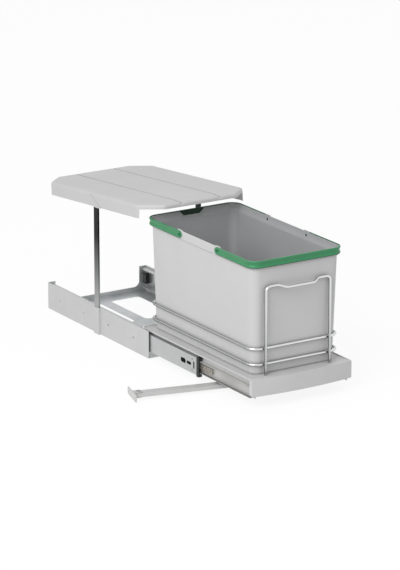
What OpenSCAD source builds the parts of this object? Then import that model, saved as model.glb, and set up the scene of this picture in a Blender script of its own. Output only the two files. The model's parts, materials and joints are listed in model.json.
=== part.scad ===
// Pull out waste bin unit for a 300 mm base cabinet, drawn pulled out with its lid tipped up at the front.
// X runs across the cabinet, Y from the front edge of the fixed frame to the rear, Z up from the floor.
// Millimetres. Sheet metal frame and tray, ball slides, wire rails, moulded bin and handles, lid on posts.

/* [Fixed frame] */
// Clear width inside the cabinet that the frame and the lid fill
fit_w = 264; // [250:1:300]
// How far each side panel stands inside the clear width
panel_step = 5; // [3:0.5:7]
// Length of the side panels from front to rear
frame_len = 428; // [420:1:480]
// Height of the side panels
panel_h = 60; // [59:0.5:64]
// Sheet thickness of the frame
sheet_t = 1.5; // [1.2:0.1:1.8]
// Bore of the cabinet screw holes
screw_bore = 4.2; // [3.5:0.1:5.5]
// Place of the first cabinet screw hole behind the front edge
screw_first_y = 62.5; // [50:0.5:75]
// Distance of the last cabinet screw hole from the rear edge
screw_last = 52.3; // [46:0.1:60]
// Height of the cabinet screw holes
screw_z = 30; // [26:0.5:36]
// Width of the strip between the floor windows
strip_w = 27; // [20:1:40]
// Width of each floor window
window_w = 73.5; // [60:0.5:80]
// Width of the strip behind the rear windows
rear_strip_w = 31.75; // [28:0.25:50]
// Width of the strip in front of the front windows
front_strip_w = 41.25; // [30:0.25:60]
// Corner radius of the floor windows
window_r = 12; // [4:0.5:20]
// Width of the crossbar between front and rear windows
crossbar_w = 39; // [30:1:44]
// Height of the low middle of the rear wall
rear_low_h = 13; // [8:0.5:20]
// Width of each tall end of the rear wall
rear_ear_w = 17; // [12:0.5:24]
// Radius where the ears run down into the low part
rear_fillet_r = 14; // [6:0.5:20]

/* [Lid posts] */
// Width of the flat post along the cabinet
post_w = 18; // [14:0.5:24]
// Thickness of the flat post
post_t = 3.5; // [2.5:0.1:4]
// Distance of the lid pivot behind the front edge of the frame
pivot_y = 209; // [200:1:216]
// Height of the lid pivot
pivot_z = 300; // [298:0.5:301]
// Radius of the pivot pin
pivot_pin_r = 3; // [2:0.1:4]

/* [Lid] */
// Length of the lid in front of its pivot
lid_front = 218.7; // [210:0.5:226]
// Length of the lid behind its pivot
lid_rear = 232.3; // [228:0.5:240]
// Height of the top of the lid above its pivot
lid_top = 14.45; // [14:0.05:16]
// Depth of the long side and rear skirt
skirt_deep = 29; // [22:0.5:34]
// Depth of the short skirt round the front of the lid
skirt_short = 10; // [7:0.5:10.4]
// Length of the front part with the short skirt
short_len = 35; // [30:1:80]
// Thickness of the skirt
skirt_t = 1.2; // [1:0.1:1.2]
// Thickness of the lid's top
lid_t = 2; // [1.6:0.1:2.2]
// Corner radius of the lid seen from above
lid_corner_r = 60; // [30:1:66]
// Angle that the lid stands up at the front when the tray is out
lid_tilt = 5.1; // [4:0.1:6]
// Distance of each groove in the lid's top from the middle
groove_x = 47.7; // [36:0.1:56]
// Width of the grooves in the lid's top
groove_w = 3; // [2:0.1:5]

/* [Slides] */
// Height of the fixed member of the slides
outer_h = 45.7; // [44.6:0.1:48]
// Height of the middle member of the slides
middle_h = 38; // [37:0.1:38.4]
// Height of the tray member of the slides
inner_h = 26; // [24:0.1:27]
// Thickness of a slide from panel to tray
slide_d = 12.7; // [12.4:0.1:13.5]
// Sheet thickness of the slide members
rail_t = 1.2; // [1:0.1:1.3]
// Height of the middle of the slides
slide_z = 33.3; // [33:0.1:34]
// Distance of the fixed member's rear end from the frame's rear edge
outer_back = 6; // [4:1:30]
// Length of the middle member
middle_len = 368; // [330:1:368]
// Distance of the tray member's rear end in front of the frame when the tray is out
inner_back = 10; // [9:1:40]
// Travel of the tray from shut to fully out
travel = 392; // [360:1:393]
// Share of the tray's travel that the middle member makes
middle_share = 0.52; // [0.515:0.005:0.525]
// Length of the ball cages
cage_len = 110; // [80:1:120]

/* [Tray] */
// Gap between the tray's rim and each side panel
tray_step = 5; // [4:0.5:9]
// Height of the tray's rim above the floor
tray_top = 62; // [61.8:0.1:66]
// Height of the upturned lip of the tray
lip_h = 2; // [1.4:0.1:3]
// How far the tray reaches behind the front edge of the frame when it is out
tray_back = 33.5; // [32:0.5:34]
// Distance of the tray's front corners in front of the frame
tray_front = 394; // [393.5:0.1:400]
// How far the curved front bulges past its corners
front_bulge = 9; // [5:0.5:14]
// Height of the curved front
fascia_h = 37; // [30:1:40]
// Thickness of the curved front
fascia_t = 2; // [1.5:0.1:2]

/* [Wire work] */
// Diameter of the wires
wire_d = 6; // [5:0.1:6]
// Height of the lower rail
low_rail_z = 82.4; // [76:0.2:90]
// Height of the upper rail
high_rail_z = 115.6; // [105:0.2:130]
// Corner radius of the rails at the wire's middle
rail_corner_r = 23; // [19:0.5:26]
// Distance of the front loop behind the tray's front corners
loop_set = 17.05; // [16.5:0.05:17.5]
// Distance between the two legs of the front loop
loop_w = 156; // [120:1:170]
// Height of the front loop's top
loop_z = 247; // [220:1:260]
// Bend radius at the front loop's corners
loop_bend_r = 10; // [7:0.5:16]
// How far the middle of the front loop stands forward
loop_out = 9; // [4:0.5:14]
// How far the middle of the front loop drops
loop_drop = 5; // [2:0.5:8]

/* [Bin] */
// Width of the bin at its foot
bin_w = 202; // [196:0.5:203]
// Length of the bin at its foot
bin_len = 388; // [380:0.5:389]
// Height of the bin
bin_h = 243.2; // [236:0.2:243.4]
// Corner radius at the foot of the bin
bin_corner_r = 19; // [12:0.5:24]
// Draft of the bin's walls in degrees
bin_draft = 1.4; // [0.8:0.1:1.5]
// Wall thickness of the bin
bin_wall = 2.2; // [1.6:0.1:2.6]
// Height of the band round the bin's rim
rim_h = 18.5; // [17:0.5:22]
// Corner radius of the rim
rim_corner_r = 21; // [16:0.5:26]
// Depth of the finger notches in the rim
notch_h = 12; // [6:0.5:12.5]
// Width of a finger notch at the top
notch_top_w = 61; // [40:1:80]
// Width of a finger notch at the bottom
notch_low_w = 40; // [30:1:60]

/* [Handles] */
// Height of the handle bands
handle_h = 15.4; // [12:0.2:15.6]
// Thickness of the handle bands
handle_t = 3.4; // [2.6:0.1:3.6]
// Distance of each handle's pivot from the middle of the bin
handle_pivot = 73; // [60:1:100]
// Radius of the handle pins
handle_pin_r = 2.5; // [2:0.1:3]

/* [Door link] */
// Distance between the link arm's two pivots
arm_len = 218; // [200:1:225]
// Width of the link arm
arm_w = 22; // [18:0.5:23]
// Height of the link arm
arm_h = 8; // [6:0.5:8]
// Height of the underside of the link arm
arm_z = 5; // [5:0.1:5.5]
// Direction of the link arm from the tray to the door when the tray is out, in degrees
arm_angle = 166.7; // [160:0.1:168]
// Distance of the arm's tray pivot from the middle
arm_x = 67; // [60:1:75]
// Distance of the arm's tray pivot in front of the frame
arm_y = 261; // [250:1:270]
// Radius of the link's two pins
link_pin_r = 3; // [2:0.1:3.5]
// Length of the plate that screws to the door
door_plate_len = 66; // [50:1:80]
// Height of the plate that screws to the door
door_plate_h = 16; // [14:0.5:16]

/* [Fits] */
// Gap between pieces that move past each other
run_gap = 0.3; // [0.3:0.05:0.4]
// Radial gap of a pin in the bore it turns in
pin_gap = 0.05; // [0.02:0.01:0.08]

/* [Hidden] */
$fn = 64;
hull_fn = 32;
arc_fn = 720;

// Colours as the photograph shows them
steel = "#b9bcc0";
dark_steel = "#7d8286";
chrome = "#dfe3e6";
black = "#202224";
bin_grey = "#c3c4c2";
lid_grey = "#d9dad8";
green = "#3b9d66";
tray_white = "#e4e5e3";

// One overrun serves every cut
cut = 1;

// Frame
fit_half = fit_w / 2;
frame_half = fit_half - panel_step;
panel_in = frame_half - sheet_t;
pocket_in = fit_half - sheet_t;
pocket_gap = run_gap;
screw_count = 4;
screw_pitch = (frame_len - screw_first_y - screw_last) / (screw_count - 1);
window_rear_y = pivot_y - post_w / 2 + crossbar_w - sheet_t / 2;
window_rear_len = frame_len - rear_strip_w - window_rear_y;
window_front_len = window_rear_y - crossbar_w - front_strip_w;
dimple_r = 3;
dimple_x = 22;
dimple_d = 0.8;

// Slides, with depths counted from the panel towards the tray
outer_d = slide_d - rail_t;
outer_lip = (outer_h - middle_h) / 2 - rail_t - run_gap;
race_outer = (outer_h / 2 - rail_t + middle_h / 2) / 2;
race_inner = (middle_h / 2 - rail_t + inner_h / 2) / 2;
cage_t = 0.6;
outer_cage_u = rail_t + run_gap;
middle_u = outer_cage_u + cage_t + run_gap;
inner_cage_u = middle_u + rail_t + run_gap;
inner_u = inner_cage_u + cage_t + run_gap + pin_gap;
middle_end_u = outer_d - run_gap - 2 * pin_gap;
inner_web_u = slide_d - rail_t;
outer_start = 8;
outer_end = frame_len - outer_back;
mouth_gap = 1.4;
middle_lip = (middle_h - inner_h) / 2 - rail_t - mouth_gap;
middle_travel = travel * middle_share;
bumper_len = 9;
bumper_gap = 0.8;
middle_front = outer_start + bumper_gap + bumper_len - middle_travel;
middle_rear = middle_front + middle_len;
inner_front = -(tray_front - fascia_t) + outer_start;
inner_rear = -inner_back;
stop_len = 14;
stop_h = 22;
tab_h = 18;
ball_count = 7;
outer_ball_r = 1;
inner_ball_r = 1.9;
bumper_h = outer_h - 2 * rail_t - 2 * run_gap - 2 * pin_gap;
bumper_d = outer_d - rail_t - run_gap;
outer_cage_y = (outer_start + middle_rear) / 2;
inner_cage_y = (middle_front + inner_rear) / 2;
slot_round = 0.4;
slots = [[53, 19, 10], [31, 17, 6.5]];
end_slot_y = 11.5;
end_slot_w = 5;
end_slot_h = 16;
end_hole_y = 18;
end_hole_z = 12;
end_hole_r = 1.6;
latch_y = 147;
latch_len = 46;
latch_h = 12;
latch_pin_r = 3;
latch_stand = 2;
latch_tab_len = 22;
latch_tab_h = 6;
latch_slit = 1.3;
tray_screw_y = [6, 244, 354];
tray_screw_r = 2;
tray_screw_head_r = 3.6;
tray_screw_head_h = 2;
chamfer_len = 14;
access_grow = 1;
access_r = screw_bore / 2 + access_grow;

// Tray
tray_half = frame_half - tray_step;
tray_floor = tray_top - lip_h;
tray_low = tray_floor - sheet_t;
tray_r = 12;
lip_t = sheet_t;
side_web_x = panel_in - slide_d;
side_web_low = slide_z - inner_h / 2;
side_web_front = fascia_t - tray_front;
side_web_rear = tray_back - tray_r;
bulge_r = (tray_half * tray_half + front_bulge * front_bulge) / (2 * front_bulge);
bulge_y = -tray_front - front_bulge + bulge_r;
fascia_low = tray_top - fascia_h;
fascia_r = 2.5;
return_len = 9.5;
return_t = 1.2;

// Wire work, the rails hold the bin's foot with a small gap
wire_r = wire_d / 2;
bead_r = 1.02 * wire_r;
seam = wire_r / 10;
bin_foot_z = tray_floor + run_gap;
high_grow = (high_rail_z - bin_foot_z) * tan(bin_draft);
rail_gap = 1.2;
rail_half_w = bin_w / 2 + high_grow + rail_gap + wire_r;
rail_half_l = bin_len / 2 + high_grow + rail_gap / 2 + wire_r;
loop_y = loop_set - tray_front;
rail_front = loop_y + wire_d;
rail_back = rail_front + 2 * rail_half_l;
bin_mid = -rail_front - rail_half_l;
loop_half = loop_w / 2;
loop_in = 34;
loop_slope = 14;

// Bin
bin_top = bin_foot_z + bin_h;
rim_z = bin_top - rim_h;
wall_grow = (rim_z - bin_foot_z) * tan(bin_draft);
wall_half_w = bin_w / 2 + wall_grow;
wall_half_l = bin_len / 2 + wall_grow;
rim_t = 3.1;
rim_half_w = wall_half_w + rim_t;
rim_half_l = wall_half_l + rim_t;
handle_half_w = rim_half_w + run_gap + handle_t;
handle_z = bin_top - handle_h / 2 - run_gap;
handle_r = rim_corner_r + rim_t;
ridge_stand = 0.6;
band_t = handle_t - ridge_stand;
ridge_h = 2.2;
ridge_in = 1.6;
bin_floor_t = 2.5;
rise_len = 18;
rise_h = 1.8;
handle_pin_out = 0.5;
handle_pin_bed = 3;

// Lid
post_out = pocket_in;
post_in = post_out - post_t;
rocker_t = 3;
rocker_out = post_in - run_gap;
rocker_in = rocker_out - rocker_t;
lug_t = 3;
lug_out = rocker_in - run_gap;
lug_in = lug_out - lug_t;
pin_head_t = 1.5;
pin_head_r = 5;
rocker_reach = 44;
rocker_bar = 9;
rocker_r = 8.5;
roof_gap = 1.2;
post_head_r = 6.8;
post_shoulder = 5;
lid_under = lid_top - lid_t;
lug_r = post_w / 2;
edge_shares = [[0, 1], [0.3, 0.29], [1, 0]];
edge_r = 6;
groove_d = 0.8;
groove_end_w = 8;
groove_end_len = 12;
bulge_deep = 2.5;
bulge_len = 43;
bulge_side_y = -6.5;
short_slope = 7.5;

// Door link
arm_t = 1.5;
arm_top = arm_z + arm_h;
arm_boss_r = 6;
ear_t = 1.5;
ear_gap = 0.5;
ear_low = arm_z - ear_gap - ear_t;
ear_high = arm_top + ear_gap;
mount_web_y = 15.5;
mount_web_t = 2;
mount_web_w = 24;
mount_web_x = 3;
mount_flange = 30;
plate_t = 2;
plate_stand = arm_w / 2 + 1;
plate_mid_z = arm_z + arm_h / 2;
door_hole_r = 2.25;
door_hole_in = 9;
plate_r = 4;
ear_r = 8;
link_head_r = 5;
link_head_t = 1.2;
link_tail = 0.8;
arm_pivot = [-arm_x, -arm_y, 0];
arm_end = arm_pivot + arm_len * [cos(arm_angle), sin(arm_angle), 0];
door_turn = 74;

// Extrudes a shape drawn in X and Z along Y
module along_y(y0, y1) {
    translate([0, y1, 0]) rotate([90, 0, 0]) linear_extrude(y1 - y0) children();
}

// Extrudes a shape drawn in Y and Z along X
module along_x(x0, x1) {
    translate([x0, 0, 0]) rotate([90, 0, 90]) linear_extrude(x1 - x0) children();
}

// Mirrors what is drawn for the right side to the left
module on_side(side) {
    if (side < 0) mirror([1, 0, 0]) children();
    else children();
}

// A cylinder along X
module round_x(x0, x1, r) {
    translate([x0, 0, 0]) rotate([0, 90, 0]) cylinder(h = x1 - x0, r = r);
}

// A rectangle with round corners and true arcs
module round_rect(hx, hy, r) {
    square([2 * hx - 2 * r, 2 * hy], center = true);
    square([2 * hx, 2 * hy - 2 * r], center = true);
    for (i = [-1, 1], j = [-1, 1]) translate([i * (hx - r), j * (hy - r)]) circle(r);
}

// A box given by two corners
module box(a, b) {
    translate(a) cube(b - a);
}

// A round rod between two points
module rod(a, b, r) {
    d = b - a;
    translate(a) rotate([0, acos(d.z / norm(d)), atan2(d.y, d.x)]) cylinder(h = norm(d), r = r);
}

// Slide section, counted from the panel: depth from u0 to u1, height from z0 to z1 about the slide's middle
module slide_rect(u0, u1, z0, z1) {
    translate([panel_in - u1, slide_z + z0]) square([u1 - u0, z1 - z0]);
}

// A slide channel with its web at the panel side or the tray side and lips at its mouth
module slide_channel(u0, u1, h, lip, web_at_panel) {
    web0 = web_at_panel ? u0 : u1 - rail_t;
    mouth0 = web_at_panel ? u1 - rail_t : u0;
    slide_rect(web0, web0 + rail_t, -h / 2, h / 2);
    slide_rect(u0, u1, h / 2 - rail_t, h / 2);
    slide_rect(u0, u1, -h / 2, rail_t - h / 2);
    if (lip > 0) {
        slide_rect(mouth0, mouth0 + rail_t, h / 2 - rail_t - lip, h / 2);
        slide_rect(mouth0, mouth0 + rail_t, -h / 2, rail_t + lip - h / 2);
    }
}

// Floor plate of the frame with its windows
module floor_plate() {
    color(steel) linear_extrude(sheet_t) difference() {
        translate([-panel_in, 0]) square([2 * panel_in, frame_len - sheet_t]);
        for (side = [-1, 1])
            for (w = [[front_strip_w, window_front_len], [window_rear_y, window_rear_len]])
                translate([side * (strip_w + window_w) / 2, w[0] + w[1] / 2])
                    round_rect(window_w / 2, w[1] / 2, window_r);
    }
}

// Rear wall: low in the middle, full height at both ends, with a small stamped dimple
module rear_wall() {
    low_x = panel_in - rear_ear_w;
    color(steel) difference() {
        along_y(frame_len - sheet_t, frame_len) difference() {
            translate([-panel_in, 0]) square([2 * panel_in, panel_h]);
            translate([-low_x, rear_low_h + rear_fillet_r])
                square([2 * low_x, panel_h]);
            translate([rear_fillet_r - low_x, rear_low_h])
                square([2 * low_x - 2 * rear_fillet_r, panel_h]);
            for (side = [-1, 1])
                translate([side * (low_x - rear_fillet_r), rear_low_h + rear_fillet_r])
                    circle(rear_fillet_r);
        }
        translate([dimple_x, frame_len - dimple_d, rear_low_h / 2])
            rotate([-90, 0, 0]) cylinder(h = cut + dimple_d, r = dimple_r);
    }
}

// Side panel with the pressed pocket for the lid post and the cabinet screw holes
module side_panel(side) {
    pocket_half = post_w / 2 + pocket_gap;
    color(steel) on_side(side) difference() {
        union() {
            box([panel_in, 0, 0], [frame_half, frame_len, panel_h]);
            box([panel_in, pivot_y - pocket_half - sheet_t, 0],
                [fit_half, pivot_y + pocket_half + sheet_t, panel_h]);
        }
        box([panel_in - cut, pivot_y - pocket_half, -cut],
            [pocket_in, pivot_y + pocket_half, panel_h + cut]);
        for (i = [0 : screw_count - 1])
            translate([0, screw_first_y + i * screw_pitch, screw_z])
                round_x(panel_in - cut, frame_half + cut, screw_bore / 2);
    }
}

// Flat post that carries the lid, with a shoulder, a round head and the pivot bore
module post(side) {
    color(dark_steel) on_side(side) along_x(post_in, post_out) difference() {
        union() {
            translate([pivot_y - post_w / 2, sheet_t + run_gap])
                square([post_w, pivot_z - post_shoulder - sheet_t - run_gap]);
            translate([pivot_y, pivot_z]) circle(post_head_r);
        }
        translate([pivot_y, pivot_z]) circle(pivot_pin_r + pin_gap);
    }
}

// Fixed slide member with a bent tab at its rear end
module slide_outer(side) {
    color(steel) on_side(side) difference() {
        union() {
            along_y(outer_start, outer_end) slide_channel(0, outer_d, outer_h, outer_lip, true);
            along_y(outer_end, outer_end + rail_t) slide_rect(0, outer_d, -tab_h / 2, tab_h / 2);
        }
        for (i = [0 : screw_count - 1])
            translate([0, screw_first_y + i * screw_pitch, screw_z])
                round_x(panel_in - rail_t - cut, panel_in + cut, access_r);
    }
}

// Black stop at the rear end of the fixed member
module rear_stop(side) {
    color(black) on_side(side)
        along_y(outer_end - stop_len, outer_end) slide_rect(rail_t, outer_d, -stop_h / 2, stop_h / 2);
}

// A ball cage: a web, a strip along each race and the balls in it
module cage(mid_y, web_u, end_u, race_z, ball_r) {
    y0 = mid_y - cage_len / 2;
    along_y(y0, y0 + cage_len) {
        slide_rect(web_u, web_u + cage_t, -race_z, race_z);
        for (s = [-1, 1]) slide_rect(web_u, end_u, s * race_z - cage_t / 2, s * race_z + cage_t / 2);
    }
    for (s = [-1, 1], i = [0 : ball_count - 1])
        translate([
            panel_in - (web_u + cage_t + end_u) / 2,
            y0 + (i + 0.5) * cage_len / ball_count,
            slide_z + s * race_z
        ]) sphere(ball_r);
}

module outer_cage(side) {
    color(dark_steel) on_side(side)
        cage(outer_cage_y, outer_cage_u, outer_d - rail_t - run_gap, race_outer, outer_ball_r);
}

module inner_cage(side) {
    color(dark_steel) on_side(side)
        cage(inner_cage_y, inner_cage_u, middle_end_u - rail_t - run_gap, race_inner, inner_ball_r);
}

// Middle slide member with the slots punched near its front end
module slide_middle(side) {
    color(steel) on_side(side) difference() {
        along_y(middle_front, middle_rear)
            slide_channel(middle_u, middle_end_u, middle_h, middle_lip, true);
        for (s = slots) along_x(panel_in - middle_u - rail_t - cut, panel_in - middle_u + cut)
            translate([middle_front + s[0], slide_z]) round_rect(s[1] / 2, s[2] / 2, slot_round * s[2]);
        along_x(panel_in - middle_u - rail_t - cut, panel_in - middle_u + cut)
            translate([middle_front + end_slot_y, slide_z])
                round_rect(end_slot_w / 2, end_slot_h / 2, slot_round * end_slot_w);
        for (s = [-1, 1]) translate([0, middle_front + end_hole_y, slide_z + s * end_hole_z])
            round_x(panel_in - middle_u - rail_t - cut, panel_in - middle_u + cut, end_hole_r);
    }
}

// Black bumper on the front end of the middle member, cut out for the tray member
module front_bumper(side) {
    color(black) on_side(side) along_y(middle_front - bumper_len, middle_front) difference() {
        slide_rect(rail_t + run_gap, bumper_d, -bumper_h / 2, bumper_h / 2);
        slide_rect(inner_u - run_gap, outer_d, -inner_h / 2 - run_gap, inner_h / 2 + run_gap);
    }
}

// Tray member with a bevelled front corner and its screw holes
module slide_inner(side) {
    color(chrome) on_side(side) difference() {
        along_y(inner_front, inner_rear) slide_channel(inner_u, slide_d, inner_h, 0, false);
        along_x(panel_in - slide_d - cut, panel_in) polygon([
            [inner_front - cut, slide_z + inner_h / 2 - chamfer_len / 2],
            [inner_front - cut, slide_z + inner_h / 2 + cut],
            [inner_front + chamfer_len, slide_z + inner_h / 2 + cut]
        ]);
        for (y = tray_screw_y) translate([0, inner_front + y, slide_z])
            round_x(side_web_x - cut, panel_in, tray_screw_r);
        translate([0, inner_front + latch_y + latch_len - latch_h, slide_z])
            round_x(side_web_x - cut, panel_in, latch_pin_r);
    }
}

// Slit round three sides of the latch's bent tab
module latch_slits() {
    difference() {
        square([latch_tab_len, latch_tab_h], center = true);
        translate([latch_slit, 0]) square([latch_tab_len, latch_tab_h - 2 * latch_slit], center = true);
    }
}

// Stamped release latch that lies in the tray member
module slide_latch(side) {
    u1 = inner_web_u - latch_stand;
    tail_y = inner_front + latch_y + latch_len - latch_h;
    color("#b7a9a6") on_side(side) {
        along_x(panel_in - u1, panel_in - u1 + rail_t)
            translate([inner_front + latch_y + latch_len / 2, slide_z]) difference() {
                round_rect(latch_len / 2, latch_h / 2, slot_round * latch_h);
                translate([-latch_h / 2, 0]) latch_slits();
            }
        translate([0, tail_y, slide_z]) round_x(panel_in - slide_d, panel_in - u1 + rail_t, latch_pin_r);
    }
}

// Screws that hold the tray on a slide
module tray_screws(side) {
    color(steel) on_side(side) for (y = tray_screw_y) translate([0, inner_front + y, slide_z]) {
        round_x(side_web_x - sheet_t - cut, side_web_x + rail_t, tray_screw_r);
        round_x(side_web_x + rail_t, side_web_x + rail_t + tray_screw_head_h, tray_screw_head_r);
    }
}

// Shape of the tray seen from above, with round rear corners
module tray_outline(inset) {
    hx = tray_half - inset;
    y1 = tray_back - inset;
    r = tray_r - inset;
    translate([-hx, -tray_front + fascia_t]) square([2 * hx, y1 - r + tray_front - fascia_t]);
    translate([r - hx, -tray_front + fascia_t]) square([2 * hx - 2 * r, y1 + tray_front - fascia_t]);
    for (side = [-1, 1]) translate([side * (hx - r), y1 - r]) circle(r);
}

// Tray: a floor with an upturned lip and a web down to each slide
module tray_pan() {
    color(tray_white) difference() {
        union() {
            translate([0, 0, tray_low]) linear_extrude(sheet_t) tray_outline(0);
            translate([0, 0, tray_low]) linear_extrude(tray_top - tray_low) difference() {
                tray_outline(0);
                tray_outline(lip_t);
            }
            for (side = [-1, 1]) on_side(side)
                box([side_web_x - sheet_t, side_web_front, side_web_low],
                    [side_web_x, side_web_rear, tray_low]);
        }
        for (side = [-1, 1], y = tray_screw_y) on_side(side) translate([0, inner_front + y, slide_z])
            round_x(side_web_x - sheet_t - cut, side_web_x + cut, tray_screw_r);
    }
}

// Curved front of the tray with a top flange that meets the tray's floor and a short return at each end
module tray_fascia() {
    color(tray_white) {
        intersection() {
            translate([0, bulge_y, fascia_low]) linear_extrude(fascia_h) difference() {
                circle(bulge_r, $fn = arc_fn);
                circle(bulge_r - fascia_t, $fn = arc_fn);
            }
            along_y(-tray_front - front_bulge - cut, -tray_front + fascia_t + cut)
                translate([0, fascia_low + fascia_h / 2]) round_rect(tray_half, fascia_h / 2, fascia_r);
        }
        translate([0, 0, tray_top - lip_h]) linear_extrude(lip_h) intersection() {
            translate([0, bulge_y]) circle(bulge_r, $fn = arc_fn);
            translate([fascia_r - tray_half, -tray_front - front_bulge])
                square([2 * tray_half - 2 * fascia_r, front_bulge + fascia_t]);
        }
        for (side = [-1, 1]) on_side(side)
            box([tray_half - return_t, fascia_t / 2 - tray_front, fascia_low + fascia_r],
                [tray_half, return_len - tray_front, tray_low]);
    }
}

// A closed wire ring round the bin, with a weld bead over each seam
module wire_ring(z) {
    hx = rail_half_w;
    hy = rail_half_l;
    r = rail_corner_r;
    sx = hx - r + seam;
    sy = hy - r + seam;
    translate([0, -bin_mid, z]) {
        for (s = [-1, 1]) {
            rod([s * hx, -sy, 0], [s * hx, sy, 0], wire_r);
            rod([-sx, s * hy, 0], [sx, s * hy, 0], wire_r);
        }
        for (i = [0 : 3]) {
            cx = (i == 0 || i == 3) ? hx - r : r - hx;
            cy = (i < 2) ? hy - r : r - hy;
            translate([cx, cy, 0]) rotate([0, 0, 90 * i]) {
                rotate_extrude(angle = 90) translate([r, 0]) circle(wire_r);
                for (bead = [[r, 0, 0], [0, r, 0]]) translate(bead) sphere(bead_r);
            }
        }
    }
}

module lower_rail() {
    color(chrome) wire_ring(low_rail_z);
}

module upper_rail() {
    color(chrome) wire_ring(high_rail_z);
}

// Wire loop in front of the bin, its middle bent forward and down
module front_loop() {
    bend_x = loop_half - loop_bend_r;
    bend_z = loop_z - loop_bend_r;
    bent = [0, loop_y - loop_out, loop_z - loop_drop];
    color(chrome) {
        for (s = [-1, 1]) {
            knee = [s * (loop_in + loop_slope), loop_y, loop_z];
            dip = bent + [s * loop_in, 0, 0];
            rod([s * loop_half, loop_y, tray_floor], [s * loop_half, loop_y, bend_z + seam], wire_r);
            translate([s * bend_x, loop_y, bend_z]) rotate([90, 0, 0]) rotate([0, 0, s > 0 ? 0 : 90])
                rotate_extrude(angle = 90) translate([loop_bend_r, 0]) circle(wire_r);
            translate([s * loop_half, loop_y, bend_z]) sphere(bead_r);
            translate([s * bend_x, loop_y, loop_z]) rotate([0, 90, 0]) sphere(bead_r);
            rod([s * (bend_x + seam), loop_y, loop_z], knee, wire_r);
            translate(knee) sphere(bead_r);
            rod(knee, dip, wire_r);
            translate(dip) sphere(bead_r);
        }
        rod(bent - [loop_in, 0, 0], bent + [loop_in, 0, 0], wire_r);
    }
}

// Short wire posts that carry the rails at the rear of the tray
module rear_strut(side) {
    color(chrome) difference() {
        rod([side * loop_half, rail_back, tray_floor], [side * loop_half, rail_back, high_rail_z], wire_r);
        for (z = [low_rail_z, high_rail_z])
            rod([-rail_half_w, rail_back, z], [rail_half_w, rail_back, z], wire_r);
    }
}

// Bracket under the tray that holds the link arm between two ears
module arm_mount() {
    web_y = -arm_y + mount_web_y;
    web_x = -arm_x + mount_web_x;
    color(steel) difference() {
        union() {
            box([web_x - mount_web_w / 2, web_y, ear_low],
                [web_x + mount_web_w / 2, web_y + mount_web_t, tray_low]);
            box([web_x - mount_web_w / 2, web_y, tray_low - sheet_t],
                [web_x + mount_web_w / 2, web_y + mount_flange, tray_low]);
            for (z = [ear_low, ear_high]) {
                translate(arm_pivot + [0, 0, z]) cylinder(h = ear_t, r = ear_r);
                box([-arm_x - ear_r, -arm_y, z], [-arm_x + ear_r, web_y + mount_web_t, z + ear_t]);
            }
        }
        translate(arm_pivot + [0, 0, ear_low - cut])
            cylinder(h = ear_high + ear_t - ear_low + 2 * cut, r = link_pin_r);
    }
}

// A headed pin of the door link
module link_pin(place) {
    translate(place + [0, 0, ear_low - link_tail]) cylinder(
        h = ear_high + ear_t - ear_low + link_tail, r = link_pin_r);
    translate(place + [0, 0, ear_high + ear_t]) cylinder(h = link_head_t, r = link_head_r);
}

module arm_pin() {
    color(steel) link_pin(arm_pivot);
}

module bracket_pin() {
    color(steel) link_pin(arm_end);
}

// Link arm: a channel with its open side down and a boss round each bore
module door_arm() {
    color(steel) translate(arm_pivot + [0, 0, arm_z]) rotate([0, 0, arm_angle]) difference() {
        union() {
            difference() {
                linear_extrude(arm_h) arm_outline(arm_w / 2);
                translate([0, 0, -cut]) linear_extrude(arm_h - arm_t + cut) arm_outline(arm_w / 2 - arm_t);
            }
            for (x = [0, arm_len]) translate([x, 0, 0]) cylinder(h = arm_h, r = arm_boss_r);
        }
        for (x = [0, arm_len]) translate([x, 0, -cut])
            cylinder(h = arm_h + 2 * cut, r = link_pin_r + pin_gap);
    }
}

module arm_outline(r) {
    translate([0, -r]) square([arm_len, 2 * r]);
    for (x = [0, arm_len]) translate([x, 0]) circle(r);
}

// Plate that screws to the door, with two ears round the arm's end
module door_bracket() {
    color(dark_steel) translate(arm_end) rotate([0, 0, door_turn]) difference() {
        union() {
            translate([0, 0, plate_mid_z]) rotate([-90, 0, 0]) translate([0, 0, plate_stand])
                linear_extrude(plate_t) round_rect(door_plate_len / 2, door_plate_h / 2, plate_r);
            for (z = [ear_low, ear_high]) {
                translate([0, 0, z]) cylinder(h = ear_t, r = ear_r);
                box([-ear_r, 0, z], [ear_r, plate_stand + plate_t / 2, z + ear_t]);
            }
        }
        translate([0, 0, ear_low - cut])
            cylinder(h = ear_high + ear_t - ear_low + 2 * cut, r = link_pin_r);
        for (s = [-1, 1])
            translate([s * (door_plate_len / 2 - door_hole_in), plate_stand - cut, plate_mid_z])
                rotate([-90, 0, 0]) cylinder(h = plate_t + 2 * cut, r = door_hole_r);
    }
}

// A drafted block with round corners, from the foot to the rim band
module drafted(inset, z0, z1) {
    g0 = (z0 - bin_foot_z) * tan(bin_draft) - inset;
    g1 = (z1 - bin_foot_z) * tan(bin_draft) - inset;
    thin = 0.01 * bin_wall;
    hull() {
        for (end = [[z0, g0], [z1 - thin, g1]]) translate([0, -bin_mid, end[0]]) linear_extrude(thin)
            round_rect(bin_w / 2 + end[1], bin_len / 2 + end[1], bin_corner_r - inset, $fn = hull_fn);
    }
}

// Trapezoid finger notch through the rim at one end of the bin
module notch(y0, y1) {
    along_y(y0, y1) polygon([
        [-notch_low_w / 2, bin_top - notch_h],
        [notch_low_w / 2, bin_top - notch_h],
        [notch_top_w / 2, bin_top],
        [notch_top_w / 2, bin_top + cut],
        [-notch_top_w / 2, bin_top + cut],
        [-notch_top_w / 2, bin_top]
    ]);
}

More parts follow.
